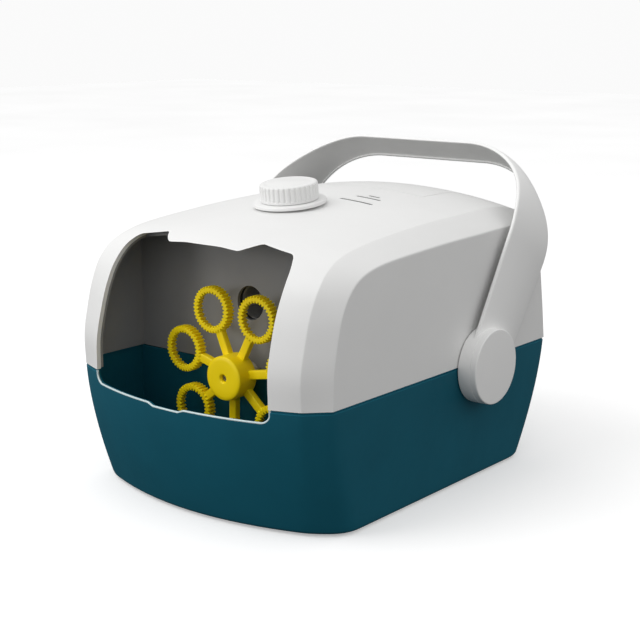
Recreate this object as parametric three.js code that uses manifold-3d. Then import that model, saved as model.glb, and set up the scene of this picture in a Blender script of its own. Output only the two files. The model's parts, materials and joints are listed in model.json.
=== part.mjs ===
// Portable bubble machine. Millimetres, +Z up, front towards -Y.
// The origin is the centre of the footprint, on the surface that the feet stand on.
import * as THREE from 'three';
import { mergeVertices } from 'three/addons/utils/BufferGeometryUtils.js';
import Module from 'manifold-3d';

const wasm = await Module();
wasm.setup();

// ---- driving dimensions -------------------------------------------------
const GAP = 0.3; // clearance between pieces that touch
const FIT = 0.05; // clearance of a shaft in its hole
const WALL = 2.4; // casing wall
const SPLIT_Z = 70.5; // joint between the tank and the upper shell
const TANK_BOTTOM = 1.0;
const CAVITY_FLOOR = TANK_BOTTOM + WALL + 0.6; // inside floor of the tank
const HALF_WIDTH = 90;
const PARTITION_Y = -57; // front face of the wall behind the wand wheel
const PARTITION_T = 2;
const PARTITION_BACK = PARTITION_Y + PARTITION_T;
const SILL_Z = 63; // front lip of the tank
const SPOUT_Z = 61.5; // pouring dip in the middle of the lip
const OPENING_HALF = 63;

const AXLE_Z = 68.6;
const AXLE_R = 2;
const AXLE_BUSH_R = 5;
const WHEEL_Y = -70.2; // mid-plane of the wand rings
const RING_COUNT = 7;
const RING_ORBIT = 38.2;
const RING_R = 13.2;
const RING_BORE = 9;
const RING_DEPTH = 5.6;
const RING_PHASE = 0.19;
const HUB_R = 12.4;
const HUB_FRONT = WHEEL_Y - 10;
const SCREW_SEAT = 2; // depth of the hub screw's seat

const GEAR_MODULE = 1.2;
const WHEEL_TEETH = 32;
const PINION_TEETH = 8;
const GEAR_SPACING = (GEAR_MODULE * (WHEEL_TEETH + PINION_TEETH)) / 2 + 0.15;

const OUTLET_Z = 107; // air outlet, straight above the axle
const OUTLET_R = 9.5;
const FAN_X = 24;
const FAN_Z = 112;

const CAP_Y = -22.9;
const CAP_Z = 158.2;
const CAP_TILT = 0.113; // forward lean of the roof under the cap, radians
const CAP_R = 16.5;
const NECK_HOLE_R = 14.2;

const PIVOT_Y = 35;
const PIVOT_Z = 68.7;
const PIVOT_BUSH_R = 7;
const HANDLE_LEAN = 0.5864; // backward lean at rest, radians from vertical
const HANDLE_REACH = 133; // pivot to the middle of the grip
const ARM_X = 94.9;

const LID_HALF = 42.5;
const LID_FRONT = 46;
const LID_REAR = 95;
const CELL_R = 7.2;
const CELL_LENGTH = 50;
const CELL_PITCH = 15.5;
const CELL_COUNT = 4;
const CELL_Z = 134;
const CELL_Y = 70;

const BUTTON_Z = 100;
const BUTTON_R = 7.2;
const REAR_Y = 121.3; // rear face of the shell at the button

const SCREW_POSTS = [[77, -45], [-77, -45], [66, 86], [-66, 86]]; // [x, y] of the casing screws
const FEET = [[62, -66], [-62, -66], [60, 68], [-60, 68]];
const FOOT_R = 7;
const FOOT_TOP = TANK_BOTTOM + 0.9;

const ROUND = 14; // sides of an ordinary cylinder
const FINE = 24; // sides of a large visible one
const SMALL = 10; // sides of a screw

// ---- materials ----------------------------------------------------------
const plastic = (color, roughness = 0.45) => ({ color, roughness, metalness: 0 });
const metal = (color, roughness = 0.35) => ({ color, roughness, metalness: 1 });
const WHITE = plastic(0xebebea);
const TEAL = plastic(0x1d4454);
const GREY = plastic(0x5a5a5c);
const YELLOW = plastic(0xf5d010);
const NATURAL = plastic(0xdad7cc);
const BLACK = plastic(0x202022);
const RUBBER = plastic(0x2a2a2b, 0.85);
const STEEL = metal(0xb9bbc0);
const BRASS = metal(0xc8a24a);

const object = new THREE.Group();

function add(name, shape, finish) {
  const geometry = shape.isBufferGeometry ? shape : toGeometry(shape);
  const mesh = new THREE.Mesh(geometry, new THREE.MeshStandardMaterial(finish));
  mesh.name = name;
  object.add(mesh);
  return mesh;
}

// ---- solids and booleans ------------------------------------------------
function solid(geometry) {
  const bare = geometry.clone();
  bare.deleteAttribute('normal');
  bare.deleteAttribute('uv');
  const merged = mergeVertices(bare, 1e-4);
  return new wasm.Manifold(new wasm.Mesh({
    numProp: 3,
    vertProperties: new Float32Array(merged.attributes.position.array),
    triVerts: new Uint32Array(merged.index.array),
  }));
}

function toGeometry(manifold) {
  const mesh = manifold.getMesh();
  const geometry = new THREE.BufferGeometry();
  geometry.setAttribute('position', new THREE.BufferAttribute(mesh.vertProperties, 3));
  geometry.setIndex(new THREE.BufferAttribute(mesh.triVerts, 1));
  geometry.computeVertexNormals();
  return geometry;
}

function box(x0, x1, y0, y1, z0, z1) {
  const geometry = new THREE.BoxGeometry(x1 - x0, y1 - y0, z1 - z0);
  return solid(geometry.translate((x0 + x1) / 2, (y0 + y1) / 2, (z0 + z1) / 2));
}

// A cylinder along Y from y0 to y1, with its axis through (x, z).
function rodY(x, z, radius, y0, y1, sides = ROUND) {
  const geometry = new THREE.CylinderGeometry(radius, radius, y1 - y0, sides);
  return solid(geometry.translate(x, (y0 + y1) / 2, z));
}

function rodX(y, z, radius, x0, x1, sides = ROUND) {
  const geometry = new THREE.CylinderGeometry(radius, radius, x1 - x0, sides).rotateZ(Math.PI / 2);
  return solid(geometry.translate((x0 + x1) / 2, y, z));
}

function rodZ(x, y, radius, z0, z1, sides = ROUND) {
  const geometry = new THREE.CylinderGeometry(radius, radius, z1 - z0, sides).rotateX(Math.PI / 2);
  return solid(geometry.translate(x, y, (z0 + z1) / 2));
}

// A body of revolution about Z from a profile of [radius, height] points, drawn either way round.
function turned(profile, sides = ROUND) {
  const points = profile.map(([r, h]) => new THREE.Vector2(r, h));
  if (THREE.ShapeUtils.area(points) < 0) points.reverse();
  return solid(new THREE.LatheGeometry(points, sides).rotateX(Math.PI / 2));
}

// A prism along Y from y0 to y1 over an outline drawn in X and Z.
function prismY(outline, y0, y1) {
  const shape = new THREE.Shape(outline.map(([x, z]) => new THREE.Vector2(x, z)));
  const geometry = new THREE.ExtrudeGeometry(shape, { depth: y1 - y0, bevelEnabled: false });
  return solid(geometry.rotateX(Math.PI / 2).translate(0, y1, 0));
}

// A closed body through a list of rings with equal point counts, capped at both ends.
function loft(rings) {
  const count = rings[0].length;
  const centre = (ring) => ring.reduce((sum, p) => sum.add(p), new THREE.Vector3()).divideScalar(count);
  const points = [...rings.flat(), centre(rings[0]), centre(rings[rings.length - 1])];
  const index = [];
  for (let r = 0; r + 1 < rings.length; r += 1) {
    for (let i = 0; i < count; i += 1) {
      const a = r * count + i;
      const b = r * count + ((i + 1) % count);
      index.push(a, b, b + count, a, b + count, a + count);
    }
  }
  const last = (rings.length - 1) * count;
  for (let i = 0; i < count; i += 1) {
    const next = (i + 1) % count;
    index.push(points.length - 2, next, i);
    index.push(points.length - 1, last + i, last + next);
  }
  const geometry = new THREE.BufferGeometry().setFromPoints(points);
  geometry.setIndex(index);
  return solid(geometry);
}

const joined = (list) => list.reduce((sum, piece) => sum.add(piece));

// ---- body form ----------------------------------------------------------
// Three rails run from the front joint over the roof to the rear joint: the crown at x = 0,
// the outer edge of the corner facet, and its inner edge on the flat side. Points correspond.
const CROWN_RAIL = [
  [0, -125.2, 70.5], [0, -123.5, 88], [0, -119.5, 104], [0, -114, 118], [0, -106.5, 131],
  [0, -96, 143.2], [0, -83, 148.9], [0, -23, 157.9], [0, 30, 161.2], [0, 84, 160.2],
  [0, 108, 151.5], [0, 117, 128], [0, 121.5, 100], [0, 125, 70.5],
];
const FACET_RAIL = [
  [79, -108.1, 70.5], [79, -108.5, 88], [79, -105.5, 103], [79, -101.3, 117.2], [79, -95.3, 129],
  [78, -86.5, 137.6], [76.5, -71.5, 143.8], [75, -22.3, 149.6], [75, 30, 152.2], [75, 80, 152.2],
  [76, 101, 145.5], [77, 110, 126], [78, 115, 100], [79, 119.5, 70.5],
];
const SIDE_RAIL = [
  [90, -97, 70.5], [90, -96.2, 88], [90, -93.5, 103], [90, -89.5, 117], [90, -83.5, 127],
  [90, -75.5, 133.6], [90, -62, 137.8], [90, -20, 141.2], [90, 30, 143], [90, 76, 142.9],
  [90, 93, 136], [90, 101, 119], [90, 105.5, 97], [90, 109.5, 70.5],
];
const RAIL_STEPS = 26;
const ARC = [1, 0.78, 0.42, 0, -0.42, -0.78, -1];

function rail(points, inset) {
  const curve = new THREE.CatmullRomCurve3(points.map((p) => new THREE.Vector3(...p)), false, 'centripetal');
  const samples = [];
  for (let k = 0; k <= RAIL_STEPS; k += 1) {
    const point = curve.getPoint(k / RAIL_STEPS);
    const run = curve.getTangent(k / RAIL_STEPS);
    const slope = new THREE.Vector3(0, -run.z, run.y).normalize();
    point.addScaledVector(slope, -inset);
    if (point.x > 0) point.x -= inset * (point.x >= HALF_WIDTH ? 1 : 0.6);
    samples.push(point);
  }
  return samples;
}

// The closed form of the upper body, shrunk by an inset; it reaches below the joint by a skirt.
function upperForm(inset, skirt) {
  const crown = rail(CROWN_RAIL, inset);
  const facet = rail(FACET_RAIL, inset);
  const side = rail(SIDE_RAIL, inset);
  const rings = crown.map((top, k) => {
    const across = ARC.map((u) => {
      const point = top.clone().lerp(facet[k], u * u);
      point.x = facet[k].x * u;
      return point;
    });
    const right = side[k];
    const left = right.clone().setX(-right.x);
    const foot = (p) => p.clone().setZ(SPLIT_Z - skirt);
    return [foot(left), left, ...across.reverse(), right, foot(right)];
  });
  return loft(rings);
}

// How far the tank's plan draws in between the joint and its floor.
const DRAFT = { front: 17.1, frontFacet: 15, frontSide: 16, rear: 26, rearSide: 25, facet: 5, side: 1.3 };
const BOTTOM_ROUND = 2.5;

// The closed form of the tank below the joint, shrunk by an inset, from a floor height upwards.
function tankForm(inset, floor) {
  const heights = [floor, 2, 4, 12, 22, 34, 50, SPLIT_Z - GAP].filter((z) => z >= floor);
  const rings = heights.map((z) => {
    const drop = 0.95 * ((SPLIT_Z - z) / SPLIT_Z) ** 1.6;
    const low = Math.max(0, BOTTOM_ROUND - (z - TANK_BOTTOM));
    const back = BOTTOM_ROUND - Math.sqrt(BOTTOM_ROUND ** 2 - low ** 2) + inset;
    const at = (x, y) => new THREE.Vector3(x, y, z);
    const facetX = 79 - DRAFT.facet * drop - back * 0.7;
    const sideX = HALF_WIDTH - DRAFT.side * drop - back;
    const row = (crownY, facetY) => ARC.map((u) => at(facetX * u, crownY + (facetY - crownY) * u * u));
    const front = row(-125.2 + DRAFT.front * drop + back, -108.1 + DRAFT.frontFacet * drop + back * 0.8);
    const rear = row(125 - DRAFT.rear * drop - back, 119.5 - DRAFT.rear * drop - back * 0.8);
    const sideFront = -97 + DRAFT.frontSide * drop + back * 0.5;
    const sideRear = 109.5 - DRAFT.rearSide * drop - back * 0.5;
    return [
      ...front.reverse(), at(sideX, sideFront), at(sideX, sideRear),
      ...rear, at(-sideX, sideRear), at(-sideX, sideFront),
    ];
  });
  return loft(rings);
}

const FAR = 200;
const aboveSplit = box(-FAR, FAR, -FAR, FAR, SPLIT_Z, 2 * FAR);

// Outline of the front opening, in X and Z, grown by a margin.
function openingOutline(margin) {
  const half = OPENING_HALF + margin;
  const right = [
    [half, 60], [half - 1, 100], [half - 1.5, 128], [half - 3, 138], [half - 7, 143.6 + margin],
    [34 - margin, 146.9 + margin], [25 - margin, 143.4 + margin], [12, 144.4 + margin],
  ];
  return [...right, ...right.map(([x, z]) => [-x, z]).reverse()];
}

// The stretch of roof that the battery lid takes up, grown by a margin.
function lidCutter(margin) {
  const half = LID_HALF + margin;
  return box(-half, half, LID_FRONT - margin, LID_REAR + margin, 146, 175);
}

// ---- tank ---------------------------------------------------------------
const POST_R = 5.5;
const WELL_R = 3.9; // screw wells, open below
const WELL_TOP = 56;
const SCREW_HOLE_R = 1.8;
const DECK_Z = 26;
const DECK_T = 2;
const TUBE_R = 7.5; // filler tube
const SLOT = { half: 40, bottom: 6, top: 15 }; // lets the solution flow under the partition

const throughPartition = [PARTITION_Y - 2, PARTITION_BACK + 2];

// A round seat at (y, z) for a bush along X through both walls, open upwards to the joint.
function pivotSeat(radius) {
  return rodX(PIVOT_Y, PIVOT_Z, radius, -FAR, FAR)
    .add(box(-FAR, FAR, PIVOT_Y - radius, PIVOT_Y + radius, PIVOT_Z, SPLIT_Z + 1));
}

function axleSeat(radius) {
  return rodY(0, AXLE_Z, radius, ...throughPartition)
    .add(box(-radius, radius, ...throughPartition, AXLE_Z, SPLIT_Z + 1));
}

function lowerTank() {
  const cavity = tankForm(WALL, CAVITY_FLOOR);
  const basin = cavity.intersect(box(-FAR, FAR, -FAR, PARTITION_Y, 0, FAR));
  const bay = cavity.intersect(box(-FAR, FAR, PARTITION_BACK, FAR, 0, FAR));
  const sill = prismY([
    [-64, 80], [-63.5, 66], [-60, SILL_Z], [-13, SILL_Z], [-9.5, SPOUT_Z], [9.5, SPOUT_Z],
    [13, SILL_Z], [60, SILL_Z], [63.5, 66], [64, 80],
  ], -FAR, -88);
  const feedSlot = box(-SLOT.half, SLOT.half, ...throughPartition, SLOT.bottom, SLOT.top);
  const posts = SCREW_POSTS.map(([x, y]) => rodZ(x, y, POST_R, TANK_BOTTOM + 1, SPLIT_Z - GAP));
  const wells = SCREW_POSTS.map(([x, y]) => rodZ(x, y, WELL_R, -5, WELL_TOP)
    .add(rodZ(x, y, SCREW_HOLE_R, WELL_TOP - 6, SPLIT_Z + 5, SMALL)));
  const pads = FEET.map(([x, y]) => rodZ(x, y, FOOT_R + GAP, -5, FOOT_TOP));
  return tankForm(0, TANK_BOTTOM)
    .subtract(basin)
    .subtract(bay)
    .add(joined(posts))
    .subtract(axleSeat(AXLE_BUSH_R + GAP))
    .subtract(pivotSeat(PIVOT_BUSH_R + GAP))
    .subtract(joined([sill, feedSlot, ...wells, ...pads]));
}
add('lower_tank', lowerTank(), TEAL);

// Plate that closes the rear of the reservoir and keeps the works dry.
function tankDeck() {
  const postHoles = SCREW_POSTS.map(([x, y]) => rodZ(x, y, POST_R + GAP, 0, SPLIT_Z));
  const tubeY = CAP_Y + (CAP_Z - DECK_Z) * Math.tan(CAP_TILT);
  return tankForm(WALL + GAP, CAVITY_FLOOR)
    .intersect(box(-FAR, FAR, PARTITION_BACK + GAP, FAR, DECK_Z, DECK_Z + DECK_T))
    .subtract(joined(postHoles))
    .subtract(rodZ(0, tubeY, TUBE_R + 1, 0, SPLIT_Z));
}
add('tank_deck', tankDeck(), GREY);

// ---- upper shell --------------------------------------------------------
const VENT_ROWS = [[5, 23.5], [16.5, 17.5], [22, 8]]; // [y, width] of the roof slots on each side
const VENT_X = 25.4;
const VENT_HALF = 0.9;
const BOSS_R = 5;
const BOSS_TOP = 96;
const PILOT_R = 1.4;
const PILOT_TOP = 88;
const OPENING_REAR = -78; // how far back the front opening is cut
const SCREW_R = 1.3;

// Moves a piece drawn about the Z axis, with the roof at z = 0, onto the leaning filler neck.
function onNeck(piece) {
  return piece.rotate([THREE.MathUtils.radToDeg(CAP_TILT), 0, 0]).translate([0, CAP_Y, CAP_Z]);
}

function ventSlots() {
  const slots = [];
  for (const [y, width] of VENT_ROWS) {
    for (const x of [-VENT_X, VENT_X]) {
      slots.push(box(x - width / 2, x + width / 2, y - VENT_HALF, y + VENT_HALF, 150, 175));
    }
  }
  return joined(slots);
}

function upperShell() {
  const bosses = SCREW_POSTS.map(([x, y]) => rodZ(x, y, BOSS_R, SPLIT_Z, BOSS_TOP));
  const pilots = SCREW_POSTS.map(([x, y]) => rodZ(x, y, PILOT_R, 60, PILOT_TOP, SMALL));
  const ribs = SCREW_POSTS.map(([x, y]) => {
    const wallX = Math.sign(x) * (HALF_WIDTH - 1.5);
    return box(Math.min(x, wallX), Math.max(x, wallX), y - 1, y + 1, SPLIT_Z, BOSS_TOP);
  });
  return upperForm(0, 4)
    .subtract(upperForm(WALL, 12))
    .add(joined([...bosses, ...ribs]).intersect(upperForm(1, 4)))
    .intersect(aboveSplit)
    .subtract(joined(pilots))
    .subtract(ventSlots())
    .subtract(onNeck(rodZ(0, 0, NECK_HOLE_R, -20, 20, FINE)))
    .subtract(prismY(openingOutline(0), -FAR, OPENING_REAR))
    .subtract(rodX(PIVOT_Y, PIVOT_Z, PIVOT_BUSH_R + GAP, -FAR, FAR))
    .subtract(rodY(0, BUTTON_Z, BUTTON_R + 0.4, 110, 140))
    .subtract(lidCutter(GAP));
}
add('upper_shell', upperShell(), WHITE);

// Lift-off lid of the battery compartment, held by one captive screw near its rear edge.
const LID_SCREW_Y = LID_REAR - 7;
const LID_SCREW_HEAD = [154.8, 156.4];

function batteryLid() {
  const ribs = [-25, 25].map((x) => box(x - 5, x + 5, LID_FRONT + 0.5, LID_FRONT + 3.5, 154.5, 158.8));
  return upperForm(0, 4)
    .subtract(upperForm(WALL, 12))
    .intersect(lidCutter(0))
    .add(joined(ribs))
    .add(rodZ(0, LID_SCREW_Y, POST_R, 152.5, 158))
    .subtract(rodZ(0, LID_SCREW_Y, 3.6, LID_SCREW_HEAD[0] - GAP, 180))
    .subtract(rodZ(0, LID_SCREW_Y, SCREW_R + GAP, 140, 180));
}
add('battery_lid', batteryLid(), WHITE);
add('lid_screw', rodZ(0, LID_SCREW_Y, SCREW_R, 147.5, LID_SCREW_HEAD[0] + 0.2, SMALL)
  .add(rodZ(0, LID_SCREW_Y, 3, ...LID_SCREW_HEAD)), STEEL);

// ---- chamber behind the opening ----------------------------------------
const LINER_T = 1.6;

function chamberLiner() {
  const front = box(-FAR, FAR, -FAR, PARTITION_Y + 1, SPLIT_Z + GAP, FAR);
  const skin = upperForm(WALL + GAP, 4).subtract(upperForm(WALL + GAP + LINER_T, 12)).intersect(front);
  const wall = upperForm(WALL + GAP, 4)
    .intersect(box(-FAR, FAR, PARTITION_Y, PARTITION_BACK, SPLIT_Z + GAP, FAR));
  const bossHoles = SCREW_POSTS.map(([x, y]) => rodZ(x, y, BOSS_R + GAP, 60, BOSS_TOP + 4));
  return skin.add(wall)
    .subtract(prismY(openingOutline(1), -FAR, OPENING_REAR))
    .subtract(rodY(0, AXLE_Z, AXLE_BUSH_R + GAP, ...throughPartition))
    .subtract(rodY(0, OUTLET_Z, OUTLET_R + 2, ...throughPartition))
    .subtract(joined(bossHoles));
}
add('chamber_liner', chamberLiner(), GREY);

// Rubber strip behind the seam between the tank's wall and the liner's.
const SEAL_Y = [PARTITION_BACK + GAP, PARTITION_BACK + GAP + 1.3];
add('partition_seal', box(-80, 80, ...SEAL_Y, SPLIT_Z - 2.5, SPLIT_Z + 2.5)
  .add(rodY(0, AXLE_Z, 10, ...SEAL_Y))
  .subtract(rodY(0, AXLE_Z, PIVOT_BUSH_R + GAP, -70, -40)), RUBBER);

// ---- wand wheel ---------------------------------------------------------
function wandWheel() {
  const y0 = WHEEL_Y - RING_DEPTH / 2;
  const y1 = WHEEL_Y + RING_DEPTH / 2;
  const bores = [
    rodY(0, AXLE_Z, AXLE_R + FIT, HUB_FRONT - 7, WHEEL_Y + 20),
    rodY(0, AXLE_Z, 2.5, HUB_FRONT - 1, HUB_FRONT + SCREW_SEAT + GAP),
  ];
  let wheel = rodY(0, AXLE_Z, HUB_R, HUB_FRONT, y1 + 1);
  for (let k = 0; k < RING_COUNT; k += 1) {
    const angle = RING_PHASE + (k * 2 * Math.PI) / RING_COUNT;
    const x = RING_ORBIT * Math.cos(angle);
    const z = AXLE_Z + RING_ORBIT * Math.sin(angle);
    const arm = box(HUB_R - 3, RING_ORBIT - RING_BORE - 1, y0 + 1, y1 - 1, -2.4, 2.4)
      .rotate([0, -THREE.MathUtils.radToDeg(angle), 0])
      .translate([0, 0, AXLE_Z]);
    wheel = wheel.add(arm).add(rodY(x, z, RING_R, y0, y1));
    bores.push(rodY(x, z, RING_BORE, y0 - 2, y1 + 2));
  }
  return wheel.subtract(joined(bores));
}
add('wand_wheel', wandWheel(), YELLOW);

// Pan-head screw along Y: its head ends at y, and its shank runs back from there.
function screwY(x, z, y, length, head, shank) {
  return rodY(x, z, head, y - 1.6, y).add(rodY(x, z, shank, y - 0.1, y + length, SMALL));
}
add('wheel_screw', screwY(0, AXLE_Z, HUB_FRONT + SCREW_SEAT, 4, 2.2, 1.2), STEEL);
const AXLE_END = -31.8;
const axleBore = rodY(0, AXLE_Z, AXLE_R + FIT, -70, 0);
add('wheel_axle', rodY(0, AXLE_Z, AXLE_R, WHEEL_Y - 3.5, AXLE_END), STEEL);
add('axle_bush', rodY(0, AXLE_Z, AXLE_BUSH_R, -62, -50.4)
  .add(rodY(0, AXLE_Z, AXLE_BUSH_R + 2, PARTITION_BACK + 2 * GAP, -52.8))
  .subtract(axleBore), NATURAL);
add('axle_seal', rodY(0, AXLE_Z, 4.6, -64, -62 - GAP).subtract(axleBore), RUBBER);

// ---- gear drive ---------------------------------------------------------
// Spur gear in the X-Z plane with straight-flanked teeth; phase turns it, in tooth pitches.
function gear(x, z, teeth, y0, y1, phase, bore) {
  const pitchR = (GEAR_MODULE * teeth) / 2;
  const tip = pitchR + GEAR_MODULE * 0.85;
  const root = pitchR - GEAR_MODULE * 1.1;
  const outline = [];
  for (let k = 0; k < teeth; k += 1) {
    for (const [radius, offset] of [[root, -0.3], [tip, -0.12], [tip, 0.12], [root, 0.3]]) {
      const angle = ((k + offset + phase) * 2 * Math.PI) / teeth;
      outline.push([radius * Math.cos(angle), radius * Math.sin(angle)]);
    }
  }
  return prismY(outline, y0, y1).translate([x, 0, z]).subtract(rodY(x, z, bore, y0 - 1, y1 + 1));
}
const IDLER_X = -GEAR_SPACING;
const MOTOR_X = -2 * GEAR_SPACING;
const FIRST_PLANE = [-46, -41.5];
const SECOND_PLANE = [-40.5, -36.5];
const IDLER_PIN_R = 1.5;
const MOTOR_SHAFT_R = 1;

function idlerGear() {
  const bore = IDLER_PIN_R + FIT;
  const small = gear(IDLER_X, AXLE_Z, PINION_TEETH, FIRST_PLANE[0], SECOND_PLANE[0] + 0.2, 0.5, bore);
  return small.add(gear(IDLER_X, AXLE_Z, WHEEL_TEETH, ...SECOND_PLANE, 0, bore));
}
add('wheel_gear', gear(0, AXLE_Z, WHEEL_TEETH, ...FIRST_PLANE, 0, AXLE_R + FIT), NATURAL);
add('idler_gear', idlerGear(), NATURAL);
add('idler_pin', rodY(IDLER_X, AXLE_Z, IDLER_PIN_R, -47.9, AXLE_END), STEEL);
add('motor_pinion', gear(MOTOR_X, AXLE_Z, PINION_TEETH, ...SECOND_PLANE, 0.5, MOTOR_SHAFT_R + FIT), BRASS);

// Gearbox of two halves: a plate against the partition and a deep cover behind it.
const PLATE_Y = -50;
const PLATE_T = 2;
const CASE_BACK = -31.5;
const CASE_R = 22.5;
const CASE_WALL = 1.5;
const MOTOR_NOSE_R = 3.2;

const casing = (radius, y0, y1) => rodY(0, AXLE_Z, radius, y0, y1, FINE)
  .add(rodY(MOTOR_X, AXLE_Z, radius, y0, y1, FINE))
  .add(box(MOTOR_X, 0, y0, y1, AXLE_Z - radius, AXLE_Z + radius));
add('gearbox_plate', casing(CASE_R, PLATE_Y, PLATE_Y + PLATE_T)
  .subtract(rodY(0, AXLE_Z, AXLE_BUSH_R + 0.2, -60, -40))
  .subtract(rodY(IDLER_X, AXLE_Z, IDLER_PIN_R + GAP, PLATE_Y + 1.5, -40)), GREY);
add('gearbox_cover', casing(CASE_R, PLATE_Y + PLATE_T + GAP, CASE_BACK)
  .subtract(casing(CASE_R - CASE_WALL, -60, CASE_BACK - 2))
  .subtract(axleBore)
  .subtract(rodY(IDLER_X, AXLE_Z, IDLER_PIN_R + FIT, -60, 0))
  .subtract(rodY(MOTOR_X, AXLE_Z, MOTOR_NOSE_R + 0.4, -60, 0)), GREY);

// Can motor along Y from its front face at y: nose boss, rear bearing boss and shaft.
function motor(x, z, y, length, shaftStart) {
  const radius = 10;
  return rodY(x, z, radius, y, y + length)
    .add(rodY(x, z, MOTOR_NOSE_R, y - 2.2, y + 0.1))
    .add(rodY(x, z, radius * 0.4, y + length - 0.1, y + length + 2))
    .add(rodY(x, z, MOTOR_SHAFT_R, shaftStart, y));
}
add('drive_motor', motor(MOTOR_X, AXLE_Z, CASE_BACK + GAP, 25, -41), STEEL);

// ---- blower -------------------------------------------------------------
const FAN_FRONT = -52.6;
const FAN_BACK = -38;
const SCROLL_R = 25;
const NOSE_R = 13;
const INTAKE_R = 16;
const BLADE_TIP = 20.5;
const BLADES = 8;

// Prism along Y over a drum round the fan that narrows to a rounded nose over the outlet.
function fanCase(radius, nose, y0, y1) {
  const drum = new THREE.Vector2(FAN_X, FAN_Z);
  const mouth = new THREE.Vector2(0, OUTLET_Z);
  const outline = [];
  const reach = drum.distanceTo(mouth);
  const heading = Math.atan2(mouth.y - drum.y, mouth.x - drum.x);
  const spread = Math.acos((radius - nose) / reach);
  const sweep = (centre, r, from, to, steps) => {
    for (let k = 0; k <= steps; k += 1) {
      const angle = from + ((to - from) * k) / steps;
      outline.push([centre.x + r * Math.cos(angle), centre.y + r * Math.sin(angle)]);
    }
  };
  sweep(drum, radius, heading + spread, heading - spread + 2 * Math.PI, 18);
  sweep(mouth, nose, heading - spread, heading + spread, 8);
  return prismY(outline, y0, y1);
}
add('blower_housing', fanCase(SCROLL_R, NOSE_R, FAN_FRONT, FAN_BACK)
  .subtract(fanCase(SCROLL_R - 2, NOSE_R - 2, FAN_FRONT + 2, FAN_BACK + 1))
  .subtract(rodY(0, OUTLET_Z, OUTLET_R, -60, -40)), GREY);

function blowerCover() {
  const faces = [FAN_BACK + GAP, FAN_BACK + GAP + 2];
  const spokes = [0, 60, 120].map((turn) => box(-17.5, 17.5, ...faces, -1.5, 1.5)
    .rotate([0, turn, 0])
    .translate([FAN_X, 0, FAN_Z]));
  return fanCase(SCROLL_R, NOSE_R, ...faces)
    .subtract(rodY(FAN_X, FAN_Z, INTAKE_R, -60, 0))
    .add(joined(spokes))
    .add(rodY(FAN_X, FAN_Z, INTAKE_R - 4, ...faces))
    .subtract(rodY(FAN_X, FAN_Z, MOTOR_NOSE_R + 0.4, -60, 0));
}
add('blower_cover', blowerCover(), GREY);
add('air_nozzle', rodY(0, OUTLET_Z, OUTLET_R + 1.6, PARTITION_Y, FAN_FRONT - GAP)
  .add(rodY(0, OUTLET_Z, OUTLET_R + 3, PARTITION_BACK + GAP, FAN_FRONT - GAP))
  .subtract(rodY(0, OUTLET_Z, OUTLET_R, -70, -40)), GREY);

function fanImpeller() {
  const blades = [];
  for (let k = 0; k < BLADES; k += 1) {
    blades.push(box(5, BLADE_TIP, -49, -40, -0.6, 0.6)
      .rotate([0, (k * 360) / BLADES, 0])
      .translate([FAN_X, 0, FAN_Z]));
  }
  const hub = rodY(FAN_X, FAN_Z, 6, -50, -40);
  const disc = rodY(FAN_X, FAN_Z, BLADE_TIP, -50, -48.8);
  return joined([...blades, hub, disc]).subtract(rodY(FAN_X, FAN_Z, MOTOR_SHAFT_R + FIT, -60, -30));
}
add('fan_impeller', fanImpeller(), NATURAL);
add('fan_motor', motor(FAN_X, FAN_Z, FAN_BACK + 2 + 2 * GAP, 20, -45), STEEL);

// ---- filler -------------------------------------------------------------
add('filler_neck', onNeck(turned([
  [11.5, 10.2], [13.4, 10.2], [13.4, 2.6], [20.3, 2.6], [20.8, 1.9], [20.8, 0.6],
  [13.7, 0.6], [13.7, -9], [11.5, -9], [11.5, 10.2],
], FINE)), WHITE);

// Funnel under the neck and a tube down through the deck.
const TUBE_END = -(CAP_Z - 12) / Math.cos(CAP_TILT);
add('filler_tube', onNeck(turned([
  [12, -9.3], [13.5, -9.3], [13.5, -12], [TUBE_R, -22], [TUBE_R, TUBE_END],
  [TUBE_R - 1.5, TUBE_END], [TUBE_R - 1.5, -21], [12, -12], [12, -9.3],
])), NATURAL);

const CAP_RIBS = 34;
const CAP_BOTTOM = 2.6 + GAP;
const CAP_HEIGHT = 9.8;

function fillerCap() {
  const outline = [];
  for (let k = 0; k < 2 * CAP_RIBS; k += 1) {
    const angle = (k * Math.PI) / CAP_RIBS;
    const radius = CAP_R - (k % 2) * 0.7;
    outline.push([radius * Math.cos(angle), radius * Math.sin(angle)]);
  }
  return prismY(outline, 0, CAP_HEIGHT)
    .rotate([90, 0, 0])
    .translate([0, 0, CAP_BOTTOM])
    .subtract(turned([[0, 0], [14.2, 0], [14.2, 11.4], [0, 11.4]]));
}
add('filler_cap', onNeck(fillerCap()), WHITE);
add('cap_seal', onNeck(turned([[0, 10.4], [13.8, 10.4], [13.8, 11.3], [0, 11.3]])), RUBBER);

// ---- handle -------------------------------------------------------------
// A point of the handle from its place across the body, along the arm from the pivot, and through
// the width of the band.
const ALONG = new THREE.Vector3(0, Math.sin(HANDLE_LEAN), Math.cos(HANDLE_LEAN));
const THROUGH = new THREE.Vector3(0, Math.cos(HANDLE_LEAN), -Math.sin(HANDLE_LEAN));
const onHandle = (x, along, through) => new THREE.Vector3(x, PIVOT_Y, PIVOT_Z)
  .addScaledVector(ALONG, along).addScaledVector(THROUGH, through);
const BEND_START = 74;
const BEND_X = 56;
const ARM_WIDTH = 40;
const WIDEST = 45; // width of the arms where they start to bend
const WIDEST_AT = 84;
const GRIP_WIDTH = 25;
const BAND = 3; // thickness of the band
const BAND_CROWN = 2.2; // how far its outer edges curl inwards
const INNER_CROWN = 1.2;
const BAND_OUT = 3.5; // crest of the band, outwards from the handle's line

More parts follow.
